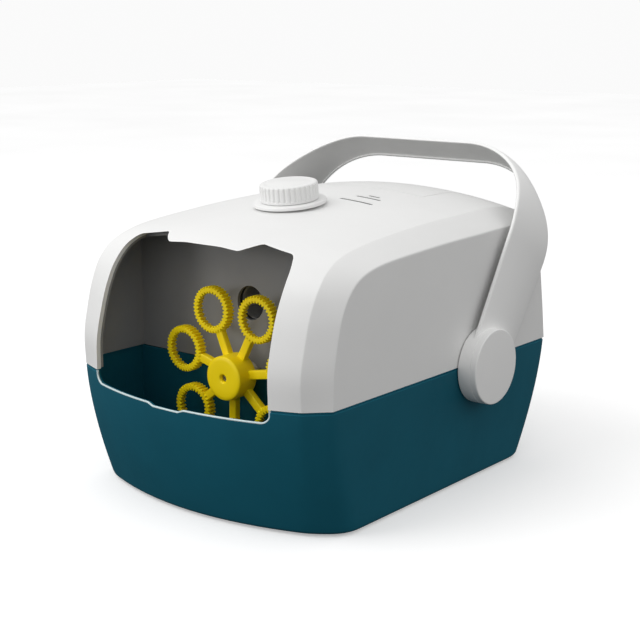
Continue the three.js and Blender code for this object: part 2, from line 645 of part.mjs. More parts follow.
function handlePath() {
  const half = [[ARM_X, 0], [ARM_X, 28], [ARM_X, 54]];
  const steps = 9;
  for (let k = 0; k <= steps; k += 1) {
    const angle = (k * Math.PI) / 2 / steps;
    const x = ARM_X - BEND_X * (1 - Math.cos(angle));
    half.push([x, BEND_START + (HANDLE_REACH - BEND_START) * Math.sin(angle)]);
  }
  half.push([20, HANDLE_REACH]);
  return [...half, ...half.map(([x, along]) => [-x, along]).reverse()];
}

// Section of the band, as [outward, across], for a width: a shallow arch of even thickness.
function bandSection(width) {
  const places = [-1, -0.6, -0.2, 0.2, 0.6, 1];
  const outer = places.map((u) => [BAND_OUT - BAND_CROWN * u * u, (u * width) / 2]);
  const inner = places.map((u) => [BAND_OUT - BAND - INNER_CROWN * u * u, (u * width) / 2]);
  return [...outer, ...inner.reverse()];
}

function handleBand() {
  const path = handlePath().map(([x, along]) => new THREE.Vector2(x, along));
  const rings = path.map((point, k) => {
    const before = path[Math.max(0, k - 1)];
    const after = path[Math.min(path.length - 1, k + 1)];
    const run = after.clone().sub(before).normalize();
    const out = new THREE.Vector2(run.y, -run.x);
    const swell = THREE.MathUtils.smoothstep(point.y, 0, WIDEST_AT);
    const taper = THREE.MathUtils.smoothstep(point.y, WIDEST_AT, HANDLE_REACH);
    const width = ARM_WIDTH + (WIDEST - ARM_WIDTH) * swell - (WIDEST - GRIP_WIDTH) * taper;
    return bandSection(width).map(([n, b]) => onHandle(point.x + out.x * n, point.y + out.y * n, b));
  });
  return loft(rings);
}
const EYE_R = 21.6;
const EYE = [90.4, 98.4]; // inner and outer face of the round end of an arm
const STUB_R = 4;

// Orders a pair of distances from the middle as an X span on one side of the body.
const span = (side, near, far) => (side > 0 ? [near, far] : [-far, -near]);

function handle() {
  const eyes = [-1, 1].map((side) => rodX(PIVOT_Y, PIVOT_Z, EYE_R, ...span(side, ...EYE), FINE));
  return handleBand()
    .add(joined(eyes))
    .subtract(rodX(PIVOT_Y, PIVOT_Z, STUB_R + GAP, -110, 110, FINE));
}
add('handle', handle(), WHITE);

function pivotBush(side) {
  return rodX(PIVOT_Y, PIVOT_Z, PIVOT_BUSH_R, ...span(side, 83, 90.1))
    .add(rodX(PIVOT_Y, PIVOT_Z, 10, ...span(side, 83, 85.4)))
    .add(rodX(PIVOT_Y, PIVOT_Z, STUB_R, ...span(side, 90, 97.8)))
    .subtract(rodX(PIVOT_Y, PIVOT_Z, 1.5, ...span(side, 80, 100)));
}

function pivotScrew(side) {
  return rodX(PIVOT_Y, PIVOT_Z, 1.25, ...span(side, 84, 98.2), SMALL)
    .add(rodX(PIVOT_Y, PIVOT_Z, 3, ...span(side, 98.1, 99.6)));
}

// Cover disc over the eye, hollow over the screw head.
const hubDisc = [[0, 3.6], [19.6, 3.6], [21, 2.6], [21, 0], [3.6, 0], [3.6, 1.6], [0, 1.6]];
for (const [side, label] of [[-1, 'left'], [1, 'right']]) {
  add(`pivot_bush_${label}`, pivotBush(side), NATURAL);
  add(`pivot_screw_${label}`, pivotScrew(side), STEEL);
  add(`hub_cap_${label}`, turned(hubDisc, FINE)
    .rotate([0, side * 90, 0])
    .translate([side * (EYE[1] + GAP), PIVOT_Y, PIVOT_Z]), WHITE);
}

// ---- battery compartment ------------------------------------------------
const TRAY_HALF = 36;
const TRAY_FRONT = CELL_Y - CELL_LENGTH / 2 - 6;
const TRAY_REAR = CELL_Y + CELL_LENGTH / 2 + 3.5;
const TRAY_T = 2;
const SPRING_LENGTH = 3.4;

function batteryBox() {
  const well = box(
    -TRAY_HALF + TRAY_T, TRAY_HALF - TRAY_T, TRAY_FRONT + TRAY_T, TRAY_REAR - TRAY_T, CELL_Z - 7.5, FAR,
  );
  return box(-TRAY_HALF, TRAY_HALF, TRAY_FRONT, TRAY_REAR, CELL_Z - 9.5, 146.5).subtract(well);
}
add('battery_box', batteryBox(), BLACK);

function batteryCell(x) {
  const y0 = CELL_Y - CELL_LENGTH / 2;
  const y1 = y0 + CELL_LENGTH;
  return rodY(x, CELL_Z, CELL_R, y0, y1 - 1.2).add(rodY(x, CELL_Z, 2.7, y1 - 1.3, y1));
}

// Coil spring as the cone that it fills, with its wide end on the cell.
function contactSpring(x) {
  const geometry = new THREE.ConeGeometry(4.6, SPRING_LENGTH, 12).rotateX(Math.PI);
  return solid(geometry.translate(x, CELL_Y - (CELL_LENGTH + SPRING_LENGTH) / 2 - GAP, CELL_Z));
}
for (let k = 0; k < CELL_COUNT; k += 1) {
  const x = (k - (CELL_COUNT - 1) / 2) * CELL_PITCH;
  add(`battery_cell_${k + 1}`, batteryCell(x), metal(0x3c6ea5, 0.4));
  add(`contact_spring_${k + 1}`, contactSpring(x), STEEL);
}
for (const [label, x] of [[1, -CELL_PITCH], [2, CELL_PITCH]]) {
  const faces = [TRAY_REAR - TRAY_T - 1, TRAY_REAR - TRAY_T - GAP];
  add(`contact_plate_${label}`, box(x - 12, x + 12, ...faces, CELL_Z - 4, CELL_Z + 4), STEEL);
}

// ---- switch -------------------------------------------------------------
add('switch_body', box(-6, 6, REAR_Y - 16, REAR_Y - 9, BUTTON_Z - 6, BUTTON_Z + 6)
  .subtract(rodY(0, BUTTON_Z, 2.4, REAR_Y - 12, REAR_Y)), BLACK);
add('power_button', rodY(0, BUTTON_Z, BUTTON_R, REAR_Y - 5, REAR_Y + 1.6)
  .add(rodY(0, BUTTON_Z, 1.6, REAR_Y - 10, REAR_Y - 4)), plastic(0x2b6d86));
add('button_spring', turned([[2.7, 0], [3.4, 0], [3.4, 3.4], [2.7, 3.4], [2.7, 0]])
  .rotate([-90, 0, 0])
  .translate([0, REAR_Y - 8.7, BUTTON_Z]), STEEL);
add('circuit_board', box(-24, 24, REAR_Y - 18, REAR_Y - 16 - GAP, 82, 116), plastic(0x2c6b3c, 0.5));

// ---- feet and screws ----------------------------------------------------
FEET.forEach(([x, y], k) => {
  add(`foot_${k + 1}`, rodZ(x, y, FOOT_R, 0, FOOT_TOP - GAP), RUBBER);
});
SCREW_POSTS.forEach(([x, y], k) => {
  const head = rodZ(x, y, 3.2, WELL_TOP - 2.2, WELL_TOP - GAP);
  add(`case_screw_${k + 1}`, head.add(rodZ(x, y, SCREW_R, WELL_TOP - 0.5, PILOT_TOP - 4, SMALL)), STEEL);
});

export default object;
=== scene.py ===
"""Portable bubble machine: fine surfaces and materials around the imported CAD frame.

Shapes are written in millimetres in the row frame (+Z up, front towards -Y) and scaled on entry.
"""
import json
import math

import bmesh
import bpy
from mathutils import Matrix, Vector


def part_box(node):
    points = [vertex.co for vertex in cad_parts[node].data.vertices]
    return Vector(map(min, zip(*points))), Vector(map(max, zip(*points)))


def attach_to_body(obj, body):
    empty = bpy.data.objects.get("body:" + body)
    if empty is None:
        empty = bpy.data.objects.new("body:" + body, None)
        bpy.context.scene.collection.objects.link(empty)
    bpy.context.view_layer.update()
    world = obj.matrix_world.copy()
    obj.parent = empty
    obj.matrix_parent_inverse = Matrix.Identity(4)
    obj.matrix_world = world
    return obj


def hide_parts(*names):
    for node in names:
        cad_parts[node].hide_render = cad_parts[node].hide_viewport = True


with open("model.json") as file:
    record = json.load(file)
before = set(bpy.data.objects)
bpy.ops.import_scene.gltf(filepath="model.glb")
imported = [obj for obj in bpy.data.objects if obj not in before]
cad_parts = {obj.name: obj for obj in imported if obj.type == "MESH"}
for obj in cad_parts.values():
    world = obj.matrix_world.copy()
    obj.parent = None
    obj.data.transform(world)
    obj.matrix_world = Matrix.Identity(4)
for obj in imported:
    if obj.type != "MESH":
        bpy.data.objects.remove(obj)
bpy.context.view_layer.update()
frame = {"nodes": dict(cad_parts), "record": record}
nodes = frame["nodes"]
MM = 0.001

# ---- driving dimensions, as in the CAD model ----------------------------
WALL = 2.4
HALF_WIDTH = 90
SPLIT_Z = 70.5
PARTITION_Y = -57
PARTITION_T = 2
SILL_Z = 63
SPOUT_Z = 61.5
TANK_BOTTOM = 1.0
CAP_TILT = 0.113
HANDLE_LEAN = 0.5864
HANDLE_REACH = 133
ARM_X = 94.9
RING_COUNT = 7
RING_ORBIT = 38.2
RING_R = 13.2
RING_BORE = 9
RING_DEPTH = 5.6
RING_PHASE = 0.19
RING_Y = -70.2
HUB_R = 12.4
PIVOT_HOLE = 7.3
BUSH_HOLE = 5.3
OUTLET_BORE = 9.6
SCREW_POSTS = [(77, -45), (-77, -45), (66, 86), (-66, 86)]
FEET = [(62, -66), (-62, -66), (60, 68), (-60, 68)]
CAP_PLACE = Vector((0, -22.9, 158.2))
FAR = 200


def middle(node):
    """Centre of a CAD node's box, in millimetres."""
    low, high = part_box(node)
    return (low + high) / 2 / MM


def limits(node):
    """Low and high corner of a CAD node's box, in millimetres."""
    return (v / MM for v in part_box(node))


AXLE_Z = middle("wheel_axle").z
WHEEL_FRONT = next(limits("wand_wheel")).y
PIVOT = middle("pivot_screw_right")
BUTTON = middle("power_button")
LID_LOW, LID_HIGH = limits("battery_lid")
OUTLET_Z = middle("air_nozzle").z


# ---- mesh helpers -------------------------------------------------------
def piece(name, points, faces, sharp=32):
    """A mesh object from points in millimetres; edges over sharp degrees stay crisp."""
    mesh = bpy.data.meshes.new(name)
    mesh.from_pydata([Vector(p) * MM for p in points], [], faces)
    mesh.validate()
    obj = bpy.data.objects.new(name, mesh)
    bpy.context.scene.collection.objects.link(obj)
    smooth(obj, sharp)
    return obj


def smooth(obj, sharp=32):
    """Smooth shading, with the edges over sharp degrees kept crisp."""
    obj.data.shade_smooth()
    obj.data.set_sharp_from_angle(angle=math.radians(sharp))


def loft(name, rings, closed=False, sharp=32):
    """A closed body through rings of equal point counts; closed joins the last ring to the first."""
    count = len(rings[0])
    points = [p for ring in rings for p in ring]
    faces = []
    spans = len(rings) if closed else len(rings) - 1
    for r in range(spans):
        for i in range(count):
            a, b = r * count + i, r * count + (i + 1) % count
            c = ((r + 1) % len(rings)) * count
            faces.append((a, b, c + (i + 1) % count, c + i))
    if not closed:
        last = (len(rings) - 1) * count
        faces.append(tuple(reversed(range(count))))
        faces.append(tuple(range(last, last + count)))
    return piece(name, points, faces, sharp)


def outward(obj):
    """Turns the faces to point out."""
    bm = bmesh.new()
    bm.from_mesh(obj.data)
    bmesh.ops.recalc_face_normals(bm, faces=bm.faces)
    bm.to_mesh(obj.data)
    bm.free()
    return obj


def combine(obj, operation, *tools, sharp=32):
    """Boolean of obj with each tool in turn, applied; the tools are removed."""
    for tool in tools:
        step = obj.modifiers.new("step", "BOOLEAN")
        step.operation = operation
        step.solver = "EXACT"
        step.object = tool
        bpy.context.view_layer.update()
        result = obj.evaluated_get(bpy.context.evaluated_depsgraph_get())
        made = bpy.data.meshes.new_from_object(result)
        obj.modifiers.clear()
        obj.data = made
        bpy.data.objects.remove(tool)
    smooth(obj, sharp)
    return obj


def cut(obj, *tools, sharp=32):
    return combine(obj, "DIFFERENCE", *tools, sharp=sharp)


def fuse(obj, *tools, sharp=32):
    return combine(obj, "UNION", *tools, sharp=sharp)


def keep(obj, *tools, sharp=32):
    return combine(obj, "INTERSECT", *tools, sharp=sharp)


def block(x0, x1, y0, y1, z0, z1):
    """A box between two X, two Y and two Z values."""
    ring = [(x0, y0), (x1, y0), (x1, y1), (x0, y1)]
    return loft("block", [[(x, y, z) for x, y in ring] for z in (z0, z1)])


def rod(axis, centre, radius, start, end, sides=48):
    """A cylinder along an axis from start to end; centre holds the two other coordinates in order."""
    rings = []
    for level in (start, end):
        ring = []
        for k in range(sides):
            turn = 2 * math.pi * k / sides
            u, v = centre[0] + radius * math.cos(turn), centre[1] + radius * math.sin(turn)
            ring.append({"X": (level, u, v), "Y": (u, level, v), "Z": (u, v, level)}[axis])
        rings.append(ring)
    return outward(loft("rod", rings))


def rounded(corners, radius, steps=5, closed=True):
    """A polyline with each corner rounded off; corners hold (x, y) or (x, y, own radius)."""
    out = []
    count = len(corners)
    for k, corner in enumerate(corners):
        here = Vector(corner[:2])
        if not closed and k in (0, count - 1):
            out.append(tuple(here))
            continue
        r = corner[2] if len(corner) > 2 else radius
        before = Vector(corners[k - 1][:2]) - here
        after = Vector(corners[(k + 1) % count][:2]) - here
        reach = min(r, before.length * 0.45, after.length * 0.45)
        a, b = here + before.normalized() * reach, here + after.normalized() * reach
        for s in range(steps + 1):
            t = s / steps
            out.append(tuple(a * (1 - t) ** 2 + here * (2 * t * (1 - t)) + b * t * t))
    return out


def lathe(name, profile, sides=96, sharp=32, ripple=None):
    """A body of revolution about Z; the profile of (radius, height) starts and ends on the axis,
    or closes on itself. ripple(radius, height, turn) may change a radius."""
    hollow = profile[0][0] > 0
    rings = []
    for k in range(sides):
        turn = 2 * math.pi * k / sides
        ring = []
        for r, h in profile:
            if ripple:
                r = ripple(r, h, turn)
            ring.append((r * math.cos(turn), r * math.sin(turn), h))
        rings.append(ring)
    if hollow:
        return outward(loft(name, rings, closed=True, sharp=sharp))
    points, faces, inner = [(0, 0, profile[0][1]), (0, 0, profile[-1][1])], [], len(profile) - 2
    for ring in rings:
        points += ring[1:-1]
    for k in range(sides):
        a, b = 2 + k * inner, 2 + ((k + 1) % sides) * inner
        faces.append((0, a, b))
        faces.append((1, b + inner - 1, a + inner - 1))
        for i in range(inner - 1):
            faces.append((a + i, a + i + 1, b + i + 1, b + i))
    return outward(piece(name, points, faces, sharp))


def prism(outline, y0, y1):
    """A prism along Y over an outline in X and Z."""
    return outward(loft("prism", [[(x, y, z) for x, z in outline] for y in (y0, y1)]))


def move(obj, matrix):
    """Applies a matrix, in millimetres, to the object's mesh."""
    matrix = matrix.copy()
    matrix.translation *= MM
    obj.data.transform(matrix)
    return obj


def merge(name, parts):
    """One object from several closed ones that stay apart."""
    base = parts[0]
    chosen = {"active_object": base, "selected_objects": parts, "selected_editable_objects": parts}
    with bpy.context.temp_override(**chosen):
        bpy.ops.object.join()
    base.name = name
    return base


def wire(name, path, radius, sides, sharp):
    """A round wire along a path of points that never runs straight along Y."""
    rings = []
    for k, point in enumerate(path):
        run = (path[min(k + 1, len(path) - 1)] - path[max(k - 1, 0)]).normalized()
        side = run.cross(Vector((0, 1, 0))).normalized()
        up = side.cross(run)
        turns = (2 * math.pi * i / sides for i in range(sides))
        rings.append([point + (side * math.cos(t) + up * math.sin(t)) * radius for t in turns])
    return outward(loft(name, rings, sharp=sharp))


# ---- the casing's form --------------------------------------------------
CROWN_RAIL = [
    (0, -125.2, 70.5), (0, -123.5, 88), (0, -119.5, 104), (0, -114, 118), (0, -106.5, 131),
    (0, -96, 143.2), (0, -83, 148.9), (0, -23, 157.9), (0, 30, 161.2), (0, 84, 160.2),
    (0, 108, 151.5), (0, 117, 128), (0, 121.5, 100), (0, 125, 70.5),
]
FACET_RAIL = [
    (79, -108.1, 70.5), (79, -108.5, 88), (79, -105.5, 103), (79, -101.3, 117.2), (79, -95.3, 129),
    (78, -86.5, 137.6), (76.5, -71.5, 143.8), (75, -22.3, 149.6), (75, 30, 152.2), (75, 80, 152.2),
    (76, 101, 145.5), (77, 110, 126), (78, 115, 100), (79, 119.5, 70.5),
]
SIDE_RAIL = [
    (90, -97, 70.5), (90, -96.2, 88), (90, -93.5, 103), (90, -89.5, 117), (90, -83.5, 127),
    (90, -75.5, 133.6), (90, -62, 137.8), (90, -20, 141.2), (90, 30, 143), (90, 76, 142.9),
    (90, 93, 136), (90, 101, 119), (90, 105.5, 97), (90, 109.5, 70.5),
]
RAIL_STEPS = 104
ARC_STEPS = 12
EDGE_ROUND = 0.9
SKIRT = 4
CUT_SKIRT = 12
OPENING_HALF = 63


def spline(points, t):
    """Centripetal Catmull-Rom curve through the points, with t from 0 to 1, and its tangent."""
    pts = [Vector(p) for p in points]
    pts = [pts[0] * 2 - pts[1], *pts, pts[-1] * 2 - pts[-2]]
    place = t * (len(points) - 1)
    k = min(int(place), len(points) - 2)
    w = place - k
    p0, p1, p2, p3 = pts[k:k + 4]
    d0, d1, d2 = ((a - b).length ** 0.5 for a, b in ((p1, p0), (p2, p1), (p3, p2)))
    t1 = ((p1 - p0) / d0 - (p2 - p0) / (d0 + d1) + (p2 - p1) / d1) * d1
    t2 = ((p2 - p1) / d1 - (p3 - p1) / (d1 + d2) + (p3 - p2) / d2) * d1
    c2 = p1 * -3 + p2 * 3 - t1 * 2 - t2
    c3 = p1 * 2 - p2 * 2 + t1 + t2
    return p1 + t1 * w + c2 * w * w + c3 * w ** 3, (t1 + c2 * 2 * w + c3 * 3 * w * w).normalized()


def rail(points, inset):
    """Samples along a rail, moved inwards by the inset."""
    samples = []
    for k in range(RAIL_STEPS + 1):
        point, run = spline(points, k / RAIL_STEPS)
        point += Vector((0, -run.z, run.y)).normalized() * -inset
        if point.x > 0:
            point.x -= inset * (1 if point.x >= HALF_WIDTH - 1e-6 else 0.6)
        samples.append(point)
    return samples


def eased(line, at, radius):
    """Rounds the corners of a 3-D polyline at the given indices."""
    out = []
    for k, here in enumerate(line):
        if k not in at:
            out.append(here)
            continue
        before, after = line[k - 1] - here, line[k + 1] - here
        a = here + before.normalized() * min(radius, before.length * 0.45)
        b = here + after.normalized() * min(radius, after.length * 0.45)
        out += [a * (1 - t) ** 2 + here * (2 * t * (1 - t)) + b * t * t for t in (0, 0.25, 0.5, 0.75, 1)]
    return out


def arc_points(crown, facet):
    """The crowned stretch of a section, from the left facet edge to the right one."""
    out = []
    for k in range(-ARC_STEPS, ARC_STEPS + 1):
        u = math.sin(math.pi / 2 * k / ARC_STEPS)
        point = crown.lerp(facet, u * u)
        point.x = facet.x * u
        out.append(point)
    return out


def mirrored(p):
    """The point on the other side of the middle plane."""
    return Vector((-p.x, p.y, p.z))


def upper_form(inset=0.0, skirt=SKIRT):
    """The closed form of the upper body, shrunk by an inset, reaching below the joint by a skirt.

    Its front and rear rings are repeated flat at the hem, so that both ends close below the joint.
    """
    rings = []
    for crown, facet, side in zip(*(rail(r, inset) for r in (CROWN_RAIL, FACET_RAIL, SIDE_RAIL))):
        foot = Vector((side.x, side.y, SPLIT_Z - skirt))
        line = [mirrored(foot), mirrored(side), *arc_points(crown, facet), side, foot]
        last = len(line) - 1
        rings.append(eased(line, {1, 2, last - 2, last - 1}, EDGE_ROUND))
    hem = SPLIT_Z - skirt + 0.5
    ends = (rings[0], rings[-1])
    first, last = ([Vector((p.x, p.y, min(p.z, hem))) for p in ring] for ring in ends)
    return outward(loft("form", [first, *rings, last]))


def upper_layer(outer, inner):
    """The layer of the upper body that lies between two insets, open at the bottom."""
    return cut(upper_form(outer), upper_form(inner, CUT_SKIRT))


# The tank's plan at the joint, and how far each line has moved in at the bottom.
FRONT_Y, FRONT_LEAN = -125.2, 17.1
FACET_X, FACET_X_LEAN = 79, 5
FACET_FRONT_Y, FACET_FRONT_LEAN = -108.1, 15
SIDE_X_LEAN = 1.3
SIDE_FRONT_Y, SIDE_FRONT_LEAN = -97, 16
REAR_Y, FACET_REAR_Y, REAR_LEAN = 125, 119.5, 26
SIDE_REAR_Y, SIDE_REAR_LEAN = 109.5, 25
LEAN_SCALE, LEAN_POWER = 0.95, 1.6
CORNER_STEPS = 7
CORNER_SKIP = 4
CORNER_RUN = 10
BOTTOM_ROUND = 2.5
GROOVE_HEIGHT = 0.9
GROOVE_DEPTH = 0.55


def corner(start, facet, side, end, softness):
    """The two bends of a corner facet, from a point on the crowned face to one on the flat side."""
    halfway = (facet + side) / 2
    out = []
    for a, b, c in ((start, facet, halfway), (halfway, side, end)):
        for k in range(CORNER_STEPS):
            t = k / CORNER_STEPS
            curve = a * (1 - t) ** 2 + b * (2 * t * (1 - t)) + c * t * t
            folded = a.lerp(b, 2 * t) if t < 0.5 else b.lerp(c, 2 * t - 1)
            out.append(folded.lerp(curve, softness))
    return [*out, end]


def tank_drop(z):
    """How far the tank's walls have leaned in at a height: 0 at the joint, LEAN_SCALE at Z = 0."""
    return LEAN_SCALE * ((SPLIT_Z - z) / SPLIT_Z) ** LEAN_POWER


def tank_form(inset=0.0, floor=TANK_BOTTOM):
    """The closed form of the tank below the joint; its corners soften towards the bottom."""
    top = SPLIT_Z - 0.3
    rounding = (floor + BOTTOM_ROUND * k / 6 for k in range(7))
    heights = sorted({*rounding, *range(6, 68, 4), top - GROOVE_HEIGHT - 0.3, top - GROOVE_HEIGHT, top})
    rings = []
    for z in heights:
        drop = tank_drop(z)
        low = max(0.0, BOTTOM_ROUND - (z - TANK_BOTTOM))
        back = BOTTOM_ROUND - math.sqrt(BOTTOM_ROUND ** 2 - low * low) + inset
        if inset == 0 and z > top - GROOVE_HEIGHT - 0.1:
            back += GROOVE_DEPTH
        facet_x = FACET_X - FACET_X_LEAN * drop - back * 0.7
        side_x = HALF_WIDTH - SIDE_X_LEAN * drop - back
        front = arc_points(Vector((0, FRONT_Y + FRONT_LEAN * drop + back, z)),
                           Vector((facet_x, FACET_FRONT_Y + FACET_FRONT_LEAN * drop + back * 0.8, z)))
        rear = arc_points(Vector((0, REAR_Y - REAR_LEAN * drop - back, z)),
                          Vector((facet_x, FACET_REAR_Y - REAR_LEAN * drop - back * 0.8, z)))
        side_front = Vector((side_x, SIDE_FRONT_Y + SIDE_FRONT_LEAN * drop + back * 0.5, z))
        side_rear = Vector((side_x, SIDE_REAR_Y - SIDE_REAR_LEAN * drop - back * 0.5, z))
        run = Vector((0, CORNER_RUN, 0))
        softness = 0.12 + 0.88 * math.sqrt(drop / LEAN_SCALE)
        half = [
            *front[ARC_STEPS:-CORNER_SKIP],
            *corner(front[-CORNER_SKIP], front[-1], side_front, side_front + run, softness),
            *reversed(corner(rear[-CORNER_SKIP], rear[-1], side_rear, side_rear - run, softness)),
            *reversed(rear[ARC_STEPS:-CORNER_SKIP]),
        ]
        rings.append([*half, *(mirrored(p) for p in reversed(half[1:-1]))])
    return outward(loft("tank_form", rings))


def tank_front(x, z):
    """Y of the tank's outer face at a place on its front."""
    drop = tank_drop(z) if z < SPLIT_Z else 0
    u = x / (FACET_X - FACET_X_LEAN * drop)
    crown, facet = FRONT_Y + FRONT_LEAN * drop, FACET_FRONT_Y + FACET_FRONT_LEAN * drop
    return crown + (facet - crown) * u * u


def opening_outline(margin=0.0):
    """Outline of the front opening, in X and Z, with the visor and its two stepped notches."""
    half = OPENING_HALF + margin
    right = [
        (half, 60, 0.5), (half - 1, 100, 6), (half - 1.5, 128, 4), (half - 3, 138, 3),
        (half - 7, 143.6 + margin, 3), (34 - margin, 146.9 + margin, 1.6),
        (25 - margin, 143.4 + margin, 1.6), (12, 144.4 + margin, 4),
    ]
    left = [(-x, z, r) for x, z, r in reversed(right)]
    return rounded(right + left, 2, steps=5)


# ---- materials ----------------------------------------------------------
def srgb(r, g, b):
    """Linear colour from 0-255 display values."""
    values = (c / 255 / 12.92 if c <= 10 else ((c / 255 + 0.055) / 1.055) ** 2.4 for c in (r, g, b))
    return (*values, 1)


class Nodes:
    """A small writer for one material's node tree."""

    def __init__(self, name):
        self.material = bpy.data.materials.new(name)
        self.material.use_nodes = True
        self.tree = self.material.node_tree
        self.shader = self.tree.nodes["Principled BSDF"]
        self.place = self.tree.nodes.new("ShaderNodeTexCoord").outputs["Object"]

    def link(self, a, b):
        self.tree.links.new(a, b)

    def noise(self, scale, detail=4.0, rough=0.55, stretch=None):
        """Noise over the object's own coordinates, in metres; stretch scales each axis."""
        node = self.tree.nodes.new("ShaderNodeTexNoise")
        node.inputs["Scale"].default_value = scale
        node.inputs["Detail"].default_value = detail
        node.inputs["Roughness"].default_value = rough
        source = self.place
        if stretch:
            mapping = self.tree.nodes.new("ShaderNodeMapping")
            mapping.inputs["Scale"].default_value = stretch
            self.link(self.place, mapping.inputs["Vector"])
            source = mapping.outputs["Vector"]
        self.link(source, node.inputs["Vector"])
        return node.outputs["Fac"]

    def spread(self, value, low, high, start=0.3, end=0.7):
        """Maps a value that lies between start and end onto low to high."""
        node = self.tree.nodes.new("ShaderNodeMapRange")
        node.inputs["From Min"].default_value = start
        node.inputs["From Max"].default_value = end
        node.inputs["To Min"].default_value = low
        node.inputs["To Max"].default_value = high
        self.link(value, node.inputs["Value"])
        return node.outputs["Result"]

    def mix(self, factor, a, b):
        """Blends two colours, each a value or a socket."""
        node = self.tree.nodes.new("ShaderNodeMix")
        node.data_type = "RGBA"
        self.link(factor, node.inputs["Factor"])
        for socket, value in ((node.inputs["A"], a), (node.inputs["B"], b)):
            if isinstance(value, tuple):
                socket.default_value = value
            else:
                self.link(value, socket)
        return node.outputs["Result"]

    def edges(self, reach=0.0006):
        """1 on convex edges and 0 on flats, from the ambient occlusion of the inside."""
        node = self.tree.nodes.new("ShaderNodeAmbientOcclusion")
        node.inside = True
        node.only_local = True
        node.samples = 4
        node.inputs["Distance"].default_value = reach
        return self.spread(node.outputs["AO"], 1.0, 0.0, 0.55, 0.95)

    def bump(self, height, depth, strength=1.0, after=None):
        """A normal that follows a height, on top of an earlier bump if there is one."""
        node = self.tree.nodes.new("ShaderNodeBump")
        node.inputs["Strength"].default_value = strength
        node.inputs["Distance"].default_value = depth
        self.link(height, node.inputs["Height"])
        if after is not None:
            self.link(after, node.inputs["Normal"])
        return node.outputs["Normal"]


def tone(colour, factor):
    """A colour made lighter or darker by a factor."""
    return tuple(min(1.0, c * factor) for c in colour[:3]) + (1,)


def plastic(name, colour, roughness, grain=9000, depth=0.00003, mottle=0.05, coat=0.0, edge=0.06, gloss=0.35):
    """Moulded plastic: fine grain, slow colour drift, handling marks, and edges lightened partly as wear and
    partly as a painted highlight.
    """
    n = Nodes(name)
    drift = n.noise(22, 3)
    base = n.mix(n.spread(drift, 0, 1), tone(colour, 1 - mottle), tone(colour, 1 + mottle))
    smudge = n.noise(70, 6, 0.65)
    base = n.mix(n.spread(smudge, 0, 0.35, 0.55, 0.8), base, tone(colour, 1 - 2 * mottle))
    # Convex edges lightened: partly wear, partly a painted highlight along rims.
    wear_and_highlight_edges = n.mix(n.edges(), base, tone(colour, 1 + edge * 2)) if edge else base
    n.link(wear_and_highlight_edges, n.shader.inputs["Base Color"])
    n.link(n.spread(smudge, roughness - 0.05, roughness + 0.07), n.shader.inputs["Roughness"])
    fine = n.bump(n.noise(grain, 2), depth, 0.35)
    n.link(n.bump(n.noise(160, 2), 0.00006, 0.2, fine), n.shader.inputs["Normal"])
    n.shader.inputs["Specular IOR Level"].default_value = gloss
    n.shader.inputs["Coat Weight"].default_value = coat
    n.shader.inputs["Coat Roughness"].default_value = 0.25
    return n.material


def rubber(name, colour):
    """Matt moulded rubber with light dust."""
    n = Nodes(name)
    dust = n.noise(420, 6, 0.7)
    n.link(n.mix(n.spread(dust, 0, 1), colour, tone(colour, 2.2)), n.shader.inputs["Base Color"])
    n.link(n.spread(dust, 0.7, 0.92), n.shader.inputs["Roughness"])
    n.link(n.bump(n.noise(3500, 3), 0.00008, 0.6), n.shader.inputs["Normal"])
    return n.material


def metal(name, colour, roughness, stretch):
    """Turned or drawn metal: fine lines along the stretched axis and faint tarnish."""
    n = Nodes(name)
    lines = n.noise(900, 3, 0.6, stretch)
    tarnish = n.noise(90, 5, 0.6)
    n.link(n.mix(n.spread(tarnish, 0, 1), tone(colour, 0.82), colour), n.shader.inputs["Base Color"])
    n.shader.inputs["Metallic"].default_value = 1
    n.link(n.spread(lines, roughness - 0.08, roughness + 0.12), n.shader.inputs["Roughness"])
    n.link(n.bump(lines, 0.00002, 0.4), n.shader.inputs["Normal"])
    return n.material


WHITE = srgb(236, 236, 235)
TEAL = srgb(22, 90, 108)
FINISH = {
    "white_shell": plastic("white_abs", WHITE, 0.42, mottle=0.012, edge=0.03),
    # The tank's strong edge lightening is mostly a painted highlight along its rims and lip.
    "teal_tank": plastic("teal_abs", TEAL, 0.5, mottle=0.06, edge=0.35, gloss=0.12),
    # A lighter copy of the shell's white: painted light that lifts the handle's arms and hub discs above the
    # side panel facing the same way.
    "handle_white_painted_light": plastic("handle_white_painted_light", srgb(247, 247, 246), 0.4, mottle=0.012, edge=0.03),
    # Greyer finish for the handle's inner faces: painted shade where the loop's inside is in shadow.
    "handle_inside_painted_shade": plastic("handle_inside_painted_shade", srgb(203, 203, 202), 0.6, grain=5000, depth=0.00006, edge=0),
    # A pale teal for the lip bead: a painted highlight line along the tank's lip.
    "painted_highlight_edge": plastic("painted_highlight_edge", srgb(206, 222, 224), 0.3, mottle=0.02, edge=0, gloss=0.6),
    "grey_liner": plastic("grey_abs", srgb(146, 146, 147), 0.6, grain=5000, depth=0.00008),
    "yellow_wand": plastic("yellow_pp", srgb(255, 222, 14), 0.38, mottle=0.03, edge=0.1, gloss=0.25),
    "natural_nylon": plastic("natural_nylon", srgb(226, 222, 208), 0.5, mottle=0.03),
    "black_plastic": plastic("black_abs", srgb(34, 34, 37), 0.55, grain=5000, depth=0.00008, edge=0.5),
    "seal_rubber": rubber("seal_rubber", srgb(38, 38, 40)),
    "steel": metal("plated_steel", srgb(196, 199, 205), 0.28, (1, 0.06, 1)),
    "brass_pinion": metal("cut_brass", srgb(214, 178, 96), 0.3, (1, 0.08, 1)),
    "button_blue": plastic("button_blue", srgb(52, 132, 160), 0.36, mottle=0.03, coat=0.2),
    "board_green": plastic("board_green", srgb(34, 102, 58), 0.45, mottle=0.12),
}


